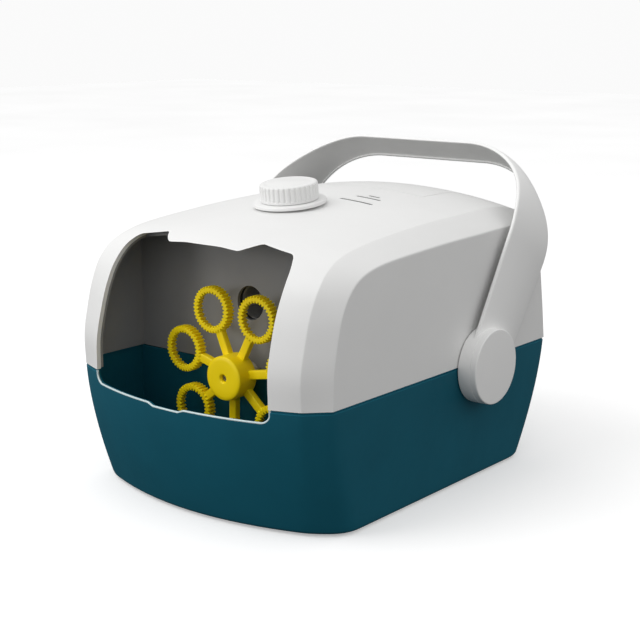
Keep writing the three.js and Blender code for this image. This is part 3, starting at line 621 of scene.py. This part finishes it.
def cell_jacket():
    """Foil jacket of a battery: blue with one darker end band along Y."""
    n = Nodes("cell_jacket")
    split = n.tree.nodes.new("ShaderNodeSeparateXYZ")
    n.link(n.place, split.inputs["Vector"])
    low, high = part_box("battery_cell_1")
    band_y = low.y + (high.y - low.y) * 0.72
    band = n.spread(split.outputs["Y"], 0, 1, band_y, band_y + 0.0002)
    n.link(n.mix(band, srgb(38, 84, 148), srgb(188, 150, 70)), n.shader.inputs["Base Color"])
    n.shader.inputs["Metallic"].default_value = 0.6
    n.link(n.spread(n.noise(260, 4), 0.25, 0.42), n.shader.inputs["Roughness"])
    return n.material


FINISH["cell_jacket"] = cell_jacket()
SLOT_OF = {s["node"]: s["material_slot"] for s in frame["record"]["subparts"]}


def finish_as(obj, finish):
    """Gives an object one of the finishes alone."""
    obj.data.materials.clear()
    obj.data.materials.append(FINISH[finish])


def settle(obj, name, body, *replaced, finish=None):
    """Names a piece, gives it the finish of the CAD nodes that it stands for, and lets it ride."""
    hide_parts(*replaced)
    return attach(obj, name, body, SLOT_OF[replaced[0]], finish)


def attach(obj, name, body, slot_name, finish=None):
    """Names a piece, finishes it as a record slot or as a finish of its own, and lets it ride."""
    obj.name = name
    finish_as(obj, finish or slot_name)
    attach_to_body(obj, body)
    return obj


for node, cad in nodes.items():
    finish_as(cad, SLOT_OF[node])


# ---- upper shell and lid ------------------------------------------------
VENT_ROWS = [(5, 23.5), (16.5, 17.5), (22, 8)]
VENT_X = 25.4
VENT_HALF = 1.15
VENT_CLEAR = 0.08
ROOF_LOW, ROOF_HIGH = 140, 175
RIB_WALL_X = 88.8
RIB_TOP = 96
POST_R = 5
POST_BORE_R = 1.4
NECK_HOLE = 14.4
BUTTON_HOLE = 7.6
LID_GAP = 0.45
LID_SHRINK = 0.05
VISOR_BACK = -78
NECK = Matrix.Translation(CAP_PLACE) @ Matrix.Rotation(CAP_TILT, 4, "X")
TO_FRONT = Matrix.Rotation(math.pi / 2, 4, "X")


def lid_block(margin):
    """The block over the battery lid, grown by a margin."""
    return block(LID_LOW.x - margin, LID_HIGH.x + margin, LID_LOW.y - margin, LID_HIGH.y + margin,
                 146, ROOF_HIGH)


def vent_slot(x, y, width, margin=0.0):
    """A slot with round ends through the roof, shrunk by a margin."""
    half, deep = width / 2 - margin, VENT_HALF - margin
    outline = [(x + sx * half, y + sy * deep) for sx, sy in ((-1, -1), (1, -1), (1, 1), (-1, 1))]
    outline = rounded(outline, deep * 0.9, 4)
    return outward(loft("slot", [[(u, v, z) for u, v in outline] for z in (ROOF_LOW, ROOF_HIGH)]))


def make_vent_shade_plate(x):
    """A dark plate under the roof with a fin up into each slot, painted shade that darkens the vent slots."""
    plate = keep(upper_layer(WALL + 0.2, WALL + 1.4), block(x - 15, x + 15, 1, 26, ROOF_LOW, ROOF_HIGH))
    for y, width in VENT_ROWS:
        fin = keep(upper_layer(0.3, WALL + 1.0), vent_slot(x, y, width, VENT_CLEAR))
        plate = fuse(plate, fin)
    return plate


def make_shell():
    shell = upper_layer(0, WALL)
    for x, y in SCREW_POSTS:
        wall_x = math.copysign(RIB_WALL_X, x)
        rib = block(min(x, wall_x), max(x, wall_x), y - 1, y + 1, SPLIT_Z - 1, RIB_TOP)
        shell = fuse(shell, rib, rod("Z", (x, y), POST_R, SPLIT_Z - 1, RIB_TOP))
    shell = cut(shell, block(-FAR, FAR, -FAR, FAR, 0, SPLIT_Z))
    for x, y in SCREW_POSTS:
        shell = cut(shell, rod("Z", (x, y), POST_BORE_R, 60, 88, 24))
    for y, width in VENT_ROWS:
        shell = cut(shell, vent_slot(-VENT_X, y, width), vent_slot(VENT_X, y, width))
    shell = cut(shell, move(rod("Z", (0, 0), NECK_HOLE, -20, 20, 72), NECK))
    shell = cut(shell, prism(opening_outline(), -FAR, VISOR_BACK))
    shell = cut(shell, rod("X", (PIVOT.y, PIVOT.z), PIVOT_HOLE, -100, 100))
    shell = cut(shell, rod("Y", (BUTTON.x, BUTTON.z), BUTTON_HOLE, 110, 140, 64))
    return cut(shell, lid_block(LID_GAP))


settle(make_shell(), "shell", "body", "upper_shell")
# The dark vent plates are painted shade inside the roof's slots.
for label, x in (("left", -VENT_X), ("right", VENT_X)):
    attach(make_vent_shade_plate(x), f"vent_shade_plate_{label}", "body", "black_plastic")


LID_SCREW_Y = middle("lid_screw").y
LID_TAB_X = 25
LID_SEAT_Z = 154.5


def make_lid():
    """The lid with two tabs under its front edge and a recess for its screw."""
    lid = keep(upper_layer(0, WALL), lid_block(-LID_SHRINK))
    for side in (-1, 1):
        x = side * LID_TAB_X
        lid = fuse(lid, block(x - 5, x + 5, LID_LOW.y + 0.5, LID_LOW.y + 3.5, LID_SEAT_Z, 158.8))
    lid = fuse(lid, rod("Z", (0, LID_SCREW_Y), 5.5, 152.5, 158.2))
    return cut(lid, rod("Z", (0, LID_SCREW_Y), 3.6, LID_SEAT_Z, 180),
               rod("Z", (0, LID_SCREW_Y), 1.6, ROOF_LOW, 180, 32))


settle(make_lid(), "roof_lid", "lid", "battery_lid")


# ---- tank ---------------------------------------------------------------
LIP = [(-60, SILL_Z, 2), (-13, SILL_Z, 1), (-9.5, SPOUT_Z, 1),
       (9.5, SPOUT_Z, 1), (13, SILL_Z, 1), (60, SILL_Z, 2)]
BEAD_R = 0.6
TOP_LIFT = 1.5


def cavity_between(y0, y1):
    """The tank's cavity between two Y values, carried on above the joint so that it opens upwards."""
    size = {"inset": WALL, "floor": TANK_BOTTOM + WALL + 0.6}
    room = keep(tank_form(**size), block(-FAR, FAR, y0, y1, -5, FAR))
    top = keep(tank_form(**size), block(-FAR, FAR, -FAR, FAR, SPLIT_Z - 2, FAR))
    move(top, Matrix.Translation((0, 0, TOP_LIFT)))
    return fuse(room, keep(top, block(-FAR, FAR, y0, y1, 0, FAR)))


def make_tank():
    basin = cavity_between(-FAR, PARTITION_Y)
    bay = cavity_between(PARTITION_Y + PARTITION_T, FAR)
    tank = cut(tank_form(), basin, bay)
    for x, y in SCREW_POSTS:
        tank = fuse(tank, rod("Z", (x, y), 5.5, TANK_BOTTOM + 1, SPLIT_Z - 0.35))
    lip = [(-64, 80, 0), (-63.5, 66, 2), *LIP, (63.5, 66, 2), (64, 80, 0)]
    tank = cut(tank, prism(rounded(lip, 1, 4), -FAR, -88))
    y0, y1 = PARTITION_Y - 2, PARTITION_Y + PARTITION_T + 2
    tank = cut(tank, block(-40, 40, y0, y1, 6, 15), rod("Y", (0, AXLE_Z), BUSH_HOLE, y0, y1, 48),
               block(-BUSH_HOLE, BUSH_HOLE, y0, y1, AXLE_Z, SPLIT_Z + 1))
    tank = cut(tank, rod("X", (PIVOT.y, PIVOT.z), PIVOT_HOLE, -100, 100),
               block(-100, 100, PIVOT.y - PIVOT_HOLE, PIVOT.y + PIVOT_HOLE, PIVOT.z, SPLIT_Z + 1))
    for x, y in SCREW_POSTS:
        tank = cut(tank, rod("Z", (x, y), 3.9, -5, 56, 32), rod("Z", (x, y), 1.8, 50, 75, 24))
    for x, y in FEET:
        tank = cut(tank, rod("Z", (x, y), 7.3, -5, TANK_BOTTOM + 0.9, 48))
    return tank


settle(make_tank(), "tank", "body", "lower_tank")


def make_lip_bead():
    """The thin rounded bead along the tank's pouring lip, coloured pale as a painted highlight line."""
    line = rounded([(-63.2, 70), (-63.2, 66, 2), *LIP, (63.2, 66, 2), (63.2, 70)], 1, 4, closed=False)
    path = []
    for (xa, za), (xb, zb) in zip(line, line[1:]):
        steps = max(1, round(math.hypot(xb - xa, zb - za) / 3))
        path += [(xa + (xb - xa) * k / steps, za + (zb - za) * k / steps) for k in range(steps)]
    path = [Vector((x, tank_front(x, z) + BEAD_R, z - 0.1)) for x, z in [*path, line[-1]]]
    return wire("bead", path, BEAD_R, sides=12, sharp=60)


# The bead's pale finish is a painted highlight along the lip.
attach(make_lip_bead(), "lip_bead", "body", "teal_tank", "painted_highlight_edge")


# ---- chamber ------------------------------------------------------------
LINER_GAP = 0.3
LINER_T = 1.6


def make_liner():
    """The chamber's skin inside the shell, with its back wall, bush hole and air outlet."""
    outside, bottom = WALL + LINER_GAP, SPLIT_Z + LINER_GAP
    skin = keep(upper_layer(outside, outside + LINER_T),
                block(-FAR, FAR, -FAR, PARTITION_Y + 1, bottom, FAR))
    wall = keep(upper_form(outside), block(-FAR, FAR, PARTITION_Y, PARTITION_Y + PARTITION_T, bottom, FAR))
    skin = fuse(skin, wall)
    skin = cut(skin, prism(opening_outline(1), -FAR, VISOR_BACK),
               rod("Y", (0, AXLE_Z), BUSH_HOLE, -70, -40),
               rod("Y", (0, OUTLET_Z), OUTLET_BORE, -70, -40, 64))
    for x, y in SCREW_POSTS:
        skin = cut(skin, rod("Z", (x, y), 5.3, 60, 100, 32))
    return skin


settle(make_liner(), "chamber", "body", "chamber_liner")


# ---- wand wheel ---------------------------------------------------------
TEETH_OUT = 38
TEETH_IN = 30
TOOTH = 1.15
RING_BEVEL = 0.35
ARM_HALF = 2.4
HUB_PLACE = Matrix.Translation((0, 0, AXLE_Z)) @ TO_FRONT


def toothed(radius, height, turn):
    """Fine round-topped teeth outside and inside a ring."""
    outside = radius > (RING_R + RING_BORE) / 2 + 0.4
    wave = 0.5 + 0.5 * math.tanh(2.2 * math.cos((TEETH_OUT if outside else TEETH_IN) * turn))
    return radius - TOOTH * (1 - wave) if outside else radius + TOOTH * (1 - wave)


def make_wheel():
    """The toothed rings, their arms and the hub, as closed forms that overlap."""
    y_front, y_back = RING_Y - RING_DEPTH / 2, RING_Y + RING_DEPTH / 2
    bevel = RING_BEVEL
    section = [(RING_R - bevel, -y_back), (RING_R, -y_back + bevel), (RING_R, -y_front - bevel),
               (RING_R - bevel, -y_front), (RING_BORE + bevel, -y_front), (RING_BORE, -y_front - bevel),
               (RING_BORE + 0.4, -y_front - 2), (RING_BORE + 1.6, -y_back)]
    parts = []
    for k in range(RING_COUNT):
        angle = RING_PHASE + 2 * math.pi * k / RING_COUNT
        at = Vector((RING_ORBIT * math.cos(angle), 0, AXLE_Z + RING_ORBIT * math.sin(angle)))
        ring = lathe("ring", section, sides=TEETH_OUT * 8, ripple=toothed)
        parts.append(move(ring, Matrix.Translation(at) @ TO_FRONT))
        bar = rounded([(-ARM_HALF, y_front + 0.8), (ARM_HALF, y_front + 0.8), (ARM_HALF, y_back - 0.8),
                       (-ARM_HALF, y_back - 0.8)], 0.6, 3)
        arm = outward(loft("arm", [[(r, v, u) for u, v in bar] for r in (10, RING_ORBIT - RING_BORE - 2)]))
        parts.append(move(arm, Matrix.Translation((0, 0, AXLE_Z)) @ Matrix.Rotation(-angle, 4, "Y")))
    front, back = -WHEEL_FRONT, -(y_back + 1)
    hub = rounded([(2.1, back), (HUB_R, back, 0.6), (HUB_R, front - 0.5, 1.2), (HUB_R - 1.8, front, 1),
                   (2.5, front, 0.5), (1.9, front - 1.2, 0.2), (1.9, front - 2), (2.3, front - 2),
                   (2.3, front - 5), (2.1, front - 5)], 0.3, 4)
    parts.append(move(lathe("hub", hub), HUB_PLACE))
    return merge("wand_wheel_fine", parts)


settle(make_wheel(), "bubble_wheel", "wheel", "wand_wheel")


def cross_head(radius, height, length, slot_width=0.7):
    """A domed screw head on its shank along Z, top at height, with a cross recess."""
    profile = [(0, height - length), (radius * 0.42, height - length), (radius * 0.42, height - 1.5),
               (radius, height - 1.5), (radius, height - 0.7), (radius * 0.8, height - 0.15), (0, height)]
    head = lathe("screw", profile, 40, 50)
    reach = radius * 0.6
    w = slot_width / 2
    return cut(head, block(-reach, reach, -w, w, height - 0.9, height + 1),
               block(-w, w, -reach, reach, height - 0.9, height + 1), sharp=40)


def fine_screw(name, node, body, matrix, radius, height, length=8):
    """A cross-head screw in place of a CAD node; the matrix carries it from Z to its place."""
    return settle(move(cross_head(radius, height, length), matrix), name, body, node)


fine_screw("hub_screw", "wheel_screw", "wheel", HUB_PLACE, 2.2, -WHEEL_FRONT - 2.1, 4)


def turned_y(name, node, body, profile, x, z, sides=64):
    """A body of revolution about an axis along Y; the profile gives (radius, y)."""
    shape = lathe(name, [(r, -y) for r, y in profile], sides)
    return settle(move(shape, Matrix.Translation((x, 0, z)) @ TO_FRONT), name, body, node)


BORE_R = 2.05
low, high = limits("wheel_axle")
turned_y("axle", "wheel_axle", "wheel",
         [(0, low.y), (1.6, low.y), (2, low.y + 0.4), (2, high.y - 0.4), (1.6, high.y), (0, high.y)],
         0, AXLE_Z, 40)
low, high = limits("axle_bush")
turned_y("bush", "axle_bush", "body",
         [(BORE_R, low.y), (4.6, low.y), (5, low.y + 0.4), (5, -54.4), (6.8, -54.4), (7, -54.2),
          (7, -52.9), (5, -52.8), (5, high.y), (BORE_R, high.y)], 0, AXLE_Z)
low, high = limits("axle_seal")
turned_y("lip_seal", "axle_seal", "body",
         [(BORE_R, low.y), (3.2, low.y), (4.6, low.y + 0.7), (4.6, high.y), (BORE_R, high.y)], 0, AXLE_Z)


def make_outlet():
    """The dark tube behind the chamber's air outlet, against its back wall."""
    front = PARTITION_Y + PARTITION_T
    low, high = limits("air_nozzle")
    profile = [(10.2, -(front + 0.2)), (12.3, -(front + 0.2)), (12.5, -(front + 0.4)), (12.5, -high.y),
               (OUTLET_BORE, -high.y), (OUTLET_BORE, -(front + 0.8))]
    return move(lathe("tube", profile, 64), Matrix.Translation((0, 0, OUTLET_Z)) @ TO_FRONT)


outlet_tube = attach(make_outlet(), "outlet_tube", "body", "black_plastic")
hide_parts("air_nozzle")


# ---- filler -------------------------------------------------------------
CAP_RIBS = 34
CAP_R = 16.5


def make_neck():
    profile = rounded([(11.5, 10.2), (13.4, 10.2), (13.4, 2.6, 0.6), (20.2, 2.6, 0.9), (20.8, 1.9, 0.6),
                       (20.8, 0.6), (13.7, 0.6), (13.7, -9), (11.5, -9)], 0.2, 3)
    return move(lathe("neck", profile), NECK)


def cap_ribs(radius, height, turn):
    """Grip ribs on the cap's side, fading out at the top rounding and at the lower band."""
    if radius < CAP_R - 1.6 or height < 4.2:
        return radius
    wave = 0.5 - 0.5 * math.tanh(3 * math.cos(CAP_RIBS * turn) + 1.2)
    fade = min(1.0, max(0.0, (12.4 - height) / 1.2)) * min(1.0, (height - 4.1) / 0.5)
    return radius - 0.75 * wave * fade


def make_cap():
    side = [(CAP_R - 0.15, 2.9), (CAP_R, 3.1), (CAP_R, 4.1), (CAP_R, 4.7), (CAP_R, 7), (CAP_R, 9.5),
            (CAP_R, 11.1), (CAP_R - 0.15, 11.8), (CAP_R - 0.6, 12.3), (CAP_R - 1.4, 12.6)]
    top = [(CAP_R - 3, 12.65), (CAP_R - 3.4, 12.5), (CAP_R - 3.9, 12.5), (CAP_R - 4.3, 12.65), (0, 12.7)]
    inside = [(0, 11.6), (14.2, 11.6), (14.2, 2.9)]
    return move(lathe("cap", [*inside, *side, *top], sides=CAP_RIBS * 12, ripple=cap_ribs), NECK)


settle(make_neck(), "neck", "body", "filler_neck")
settle(make_cap(), "screw_cap", "cap", "filler_cap")


# ---- handle -------------------------------------------------------------
ALONG = Vector((0, math.sin(HANDLE_LEAN), math.cos(HANDLE_LEAN)))
THROUGH = Vector((0, math.cos(HANDLE_LEAN), -math.sin(HANDLE_LEAN)))
BEND_START = 74
BEND_X = 56
ARM_WIDTH = 40
WIDEST = 45
WIDEST_AT = 84
GRIP_WIDTH = 25
BAND = 3
BAND_CROWN = 2.2
INNER_CROWN = 1.2
BAND_OUT = 3.5
RIM_WIDTH = 1.5
CHANNEL = 1.0
EYE_R = 21.6
EYE_X = 90.4
EYE_DEPTH = 8
DISC_R = 21.5
DISC_X = 98.7


def handle_path():
    """The handle's middle line from left to right, as (X, distance along its arms)."""
    half = [(ARM_X, s) for s in range(0, BEND_START - 1, 4)]
    for k in range(41):
        angle = math.pi / 2 * k / 40
        half.append((ARM_X - BEND_X * (1 - math.cos(angle)),
                     BEND_START + (HANDLE_REACH - BEND_START) * math.sin(angle)))
    half += [(x, HANDLE_REACH) for x in (32, 24, 16, 8, 0)]
    return half + [(-x, s) for x, s in reversed(half[:-1])]


def band_section(width):
    """A shallow arch with soft edges and a channel along its inner face, as (outward, across)."""
    half = width / 2
    across = [half * 0.96 * math.sin(math.pi / 2 * k / 8) for k in range(-8, 9)]
    outer = [(BAND_OUT - BAND_CROWN * (b / half) ** 2, b) for b in across]
    bed = half - RIM_WIDTH
    rim_out, rim_in = BAND_OUT - BAND_CROWN, BAND_OUT - BAND - INNER_CROWN
    inner = [(BAND_OUT - BAND + CHANNEL - INNER_CROWN * (b / half) ** 2, b)
             for b in (bed * math.sin(math.pi / 2 * k / 7) for k in range(-7, 8))]
    edge = [(rim_out - 0.12, half - 0.3), (rim_out - 0.45, half - 0.06), (rim_out - 1.0, half),
            (rim_in + 0.4, half - 0.06), (rim_in + 0.1, half - 0.35), (rim_in + 0.1, bed + 0.35),
            (rim_in + 0.35, bed + 0.08)]
    return outer + edge + inner[::-1] + [(n, -b) for n, b in reversed(edge)]


def smoothstep(value, low, high):
    """0 below low, 1 above high, and a soft ramp between them."""
    t = min(1.0, max(0.0, (value - low) / (high - low)))
    return t * t * (3 - 2 * t)


def band_width(along):
    """Width of the band at a distance along the arms."""
    swell = (WIDEST - ARM_WIDTH) * smoothstep(along, 0, WIDEST_AT)
    return ARM_WIDTH + swell - (WIDEST - GRIP_WIDTH) * smoothstep(along, WIDEST_AT, HANDLE_REACH)


def on_side(side, x):
    """Carries a form that stands on Z out to a pivot, facing away from the casing."""
    return Matrix.Translation((side * x, PIVOT.y, PIVOT.z)) @ Matrix.Rotation(side * math.pi / 2, 4, "Y")


def make_handle():
    path = [Vector(p) for p in handle_path()]
    rings = []
    for k, point in enumerate(path):
        run = (path[min(k + 1, len(path) - 1)] - path[max(k - 1, 0)]).normalized()
        out = Vector((run.y, -run.x))
        ring = []
        for n, b in band_section(band_width(point.y)):
            flat = point + out * n
            ring.append(Vector((flat.x, PIVOT.y, PIVOT.z)) + ALONG * flat.y + THROUGH * b)
        rings.append(ring)
    handle = outward(loft("handle", rings, sharp=40))
    rim = [(0, 0), (EYE_R, 0, 0.8), (EYE_R, EYE_DEPTH, 0.15), (0, EYE_DEPTH)]
    for side in (-1, 1):
        eye = lathe("eye", rounded(rim, 0.6, 4, closed=False), 120)
        handle = fuse(handle, move(eye, on_side(side, EYE_X)))
    return cut(handle, rod("X", (PIVOT.y, PIVOT.z), 4.3, -110, 110), sharp=40)


def paint_loop_shade(handle):
    """Gives the faces that look into the handle's loop a matt, greyer finish, painted shade on the loop's
    inside.
    """
    handle.data.materials.append(FINISH["handle_inside_painted_shade"])
    heart = (Vector((0, PIVOT.y, PIVOT.z)) + ALONG * HANDLE_REACH * 0.45) * MM
    for face in handle.data.polygons:
        if face.normal.dot((heart - face.center).normalized()) > 0.4:
            face.material_index = 1


# The handle and its hub discs take the lighter white as painted light; the loop's inner faces get painted
# shade.
paint_loop_shade(settle(make_handle(), "carry_handle", "handle", "handle", finish="handle_white_painted_light"))
for side, label in ((-1, "left"), (1, "right")):
    disc = rounded([(DISC_R, -0.2), (DISC_R, 3.6, 0.8), (0, 3.6)], 1, 6, closed=False)
    shape = move(lathe("hub_disc", [(0, 1.6), (3.6, 1.6), (3.6, -0.2), *disc], 120), on_side(side, DISC_X))
    settle(shape, f"hub_disc_{label}", "handle", f"hub_cap_{label}", finish="handle_white_painted_light")


# ---- rear button --------------------------------------------------------
low, high = limits("power_button")
turned_y("push_button", "power_button", "button",
         [(0, low.y), (1.6, low.y), (1.6, high.y - 6.6), (7.2, high.y - 6.6), (7.2, high.y - 0.9),
          (6.9, high.y - 0.3), (6.2, high.y), (4.6, high.y - 0.2), (0, high.y - 0.5)], BUTTON.x, BUTTON.z)


# ---- battery cells and their springs ------------------------------------
SPRING_TURNS = 4
SPRING_STEPS = 20
SPRING_WIRE = 0.35
SPRING_R, SPRING_FLARE = 1.6, 2.6


def coil(length):
    """A conical spring wound about Y from y = 0."""
    count = SPRING_TURNS * SPRING_STEPS
    path = []
    for k in range(count + 1):
        t = k / count
        turn, radius = 2 * math.pi * SPRING_TURNS * t, SPRING_R + SPRING_FLARE * t
        path.append(Vector((radius * math.cos(turn), length * t, radius * math.sin(turn))))
    return wire("coil", path, SPRING_WIRE, sides=8, sharp=80)


for k in range(4):
    node = f"battery_cell_{k + 1}"
    low, high = limits(node)
    x, z, r = (low.x + high.x) / 2, (low.z + high.z) / 2, (high.z - low.z) / 2
    turned_y(f"cell_{k + 1}", node, "body",
             [(0, low.y), (r - 1, low.y), (r - 0.3, low.y + 0.3), (r, low.y + 0.9), (r, high.y - 2),
              (r - 0.5, high.y - 1.3), (r - 1.3, high.y - 1.2), (2.7, high.y - 1.2), (2.6, high.y - 0.2),
              (2.3, high.y), (0, high.y)], x, z, 48)
    node = f"contact_spring_{k + 1}"
    low, high = limits(node)
    spring = coil(high.y - low.y - 0.8)
    settle(move(spring, Matrix.Translation(((low.x + high.x) / 2, low.y + 0.4, (low.z + high.z) / 2))),
           f"cell_spring_{k + 1}", "body", node)

# ---- feet and screws ----------------------------------------------------
for k, (x, y) in enumerate(FEET):
    pad = lathe("pad", [(0, 1.6), (7, 1.6), (7, 0.5), (6.7, 0.12), (6.2, 0), (0, 0)])
    settle(move(pad, Matrix.Translation((x, y, 0))), f"pad_{k + 1}", "body", f"foot_{k + 1}")
for k, (x, y) in enumerate(SCREW_POSTS):
    low, high = limits(f"case_screw_{k + 1}")
    profile = [(0, low.z + 1), (0.8, low.z + 1), (1.2, low.z), (2.9, low.z), (3.2, low.z + 0.6),
               (3.2, low.z + 1.9), (1.3, low.z + 1.9), (1.3, high.z - 1.5), (0, high.z)]
    settle(move(lathe("screw", profile, 32), Matrix.Translation((x, y, 0))), f"screw_{k + 1}", "body",
           f"case_screw_{k + 1}")
low, high = limits("lid_screw")
fine_screw("captive_screw", "lid_screw", "lid", Matrix.Translation((0, LID_SCREW_Y, 0)), 3, high.z)

# ---- floor, light and camera --------------------------------------------
FLOOR_HALF = 4000
FLOOR_Z = -0.05
FLOOR_CORNERS = ((-1, -1), (1, -1), (1, 1), (-1, 1))
floor = piece("floor", [(x * FLOOR_HALF, y * FLOOR_HALF, FLOOR_Z) for x, y in FLOOR_CORNERS], [(0, 1, 2, 3)])
paper = Nodes("floor_paper")
paper.link(paper.mix(paper.spread(paper.noise(3, 2), 0, 1), srgb(226, 226, 226), srgb(232, 232, 232)),
           paper.shader.inputs["Base Color"])
paper.shader.inputs["Roughness"].default_value = 0.9
paper.shader.inputs["Specular IOR Level"].default_value = 0.0
paper.shader.inputs["Emission Color"].default_value = (1, 1, 1, 1)
paper.shader.inputs["Emission Strength"].default_value = 0.35
floor.data.materials.append(paper.material)
floor.visible_diffuse = False
floor.visible_glossy = False

SKY_TOP = 0.8
SKY_LOW = 0.06
SKY_BAND = 0.35
BACKDROP = 0.96


def studio_world():
    """Light that falls off from above to below, with a plain white backdrop for the camera."""
    world = bpy.data.worlds.new("studio")
    bpy.context.scene.world = world
    world.use_nodes = True
    tree = world.node_tree
    light = tree.nodes["Background"]
    light.inputs["Color"].default_value = (1, 1, 1, 1)
    split = tree.nodes.new("ShaderNodeSeparateXYZ")
    tree.links.new(tree.nodes.new("ShaderNodeTexCoord").outputs["Generated"], split.inputs["Vector"])
    ramp = tree.nodes.new("ShaderNodeMapRange")
    ramp.inputs["From Min"].default_value = -SKY_BAND
    ramp.inputs["From Max"].default_value = SKY_BAND
    ramp.inputs["To Min"].default_value = SKY_LOW
    ramp.inputs["To Max"].default_value = SKY_TOP
    tree.links.new(split.outputs["Z"], ramp.inputs["Value"])
    tree.links.new(ramp.outputs["Result"], light.inputs["Strength"])
    backdrop = tree.nodes.new("ShaderNodeBackground")
    backdrop.inputs["Color"].default_value = (1, 1, 1, 1)
    backdrop.inputs["Strength"].default_value = BACKDROP
    choose = tree.nodes.new("ShaderNodeMixShader")
    tree.links.new(tree.nodes.new("ShaderNodeLightPath").outputs["Is Camera Ray"], choose.inputs["Fac"])
    tree.links.new(light.outputs["Background"], choose.inputs[1])
    tree.links.new(backdrop.outputs["Background"], choose.inputs[2])
    tree.links.new(choose.outputs["Shader"], tree.nodes["World Output"].inputs["Surface"])


studio_world()


def lamp(name, place, aim, size, power):
    """A soft square light, placed and aimed in metres."""
    data = bpy.data.lights.new(name, "AREA")
    data.size = size
    data.energy = power
    obj = bpy.data.objects.new(name, data)
    obj.location = place
    obj.rotation_euler = (Vector(aim) - Vector(place)).to_track_quat("-Z", "Y").to_euler()
    bpy.context.scene.collection.objects.link(obj)


lamp("key", (-0.6, -0.9, 1.4), (0, 0, 0.08), 1.0, 9)
lamp("fill", (-0.55, -0.9, 0.25), (0, -0.07, 0.09), 0.35, 1.6)
lamp("side", (1.5, -0.1, 0.5), (0, 0.03, 0.1), 0.8, 0.8)
bpy.context.scene.view_settings.view_transform = "Standard"

# The camera that was solved from the photo: place in metres, then pitch down and turn in degrees.
CAMERA_PLACE = (0.47984, -0.58811, 0.2574)
CAMERA_PITCH = 12.62
CAMERA_TURN = 39.03
lens = bpy.data.cameras.new("camera")
lens.sensor_width = 36
lens.lens = 74.63
lens.clip_start = 0.01
camera = bpy.data.objects.new("camera", lens)
camera.location = CAMERA_PLACE
camera.rotation_euler = (math.radians(90 - CAMERA_PITCH), 0, math.radians(CAMERA_TURN))
bpy.context.scene.collection.objects.link(camera)
bpy.context.scene.camera = camera

bpy.context.view_layer.update()
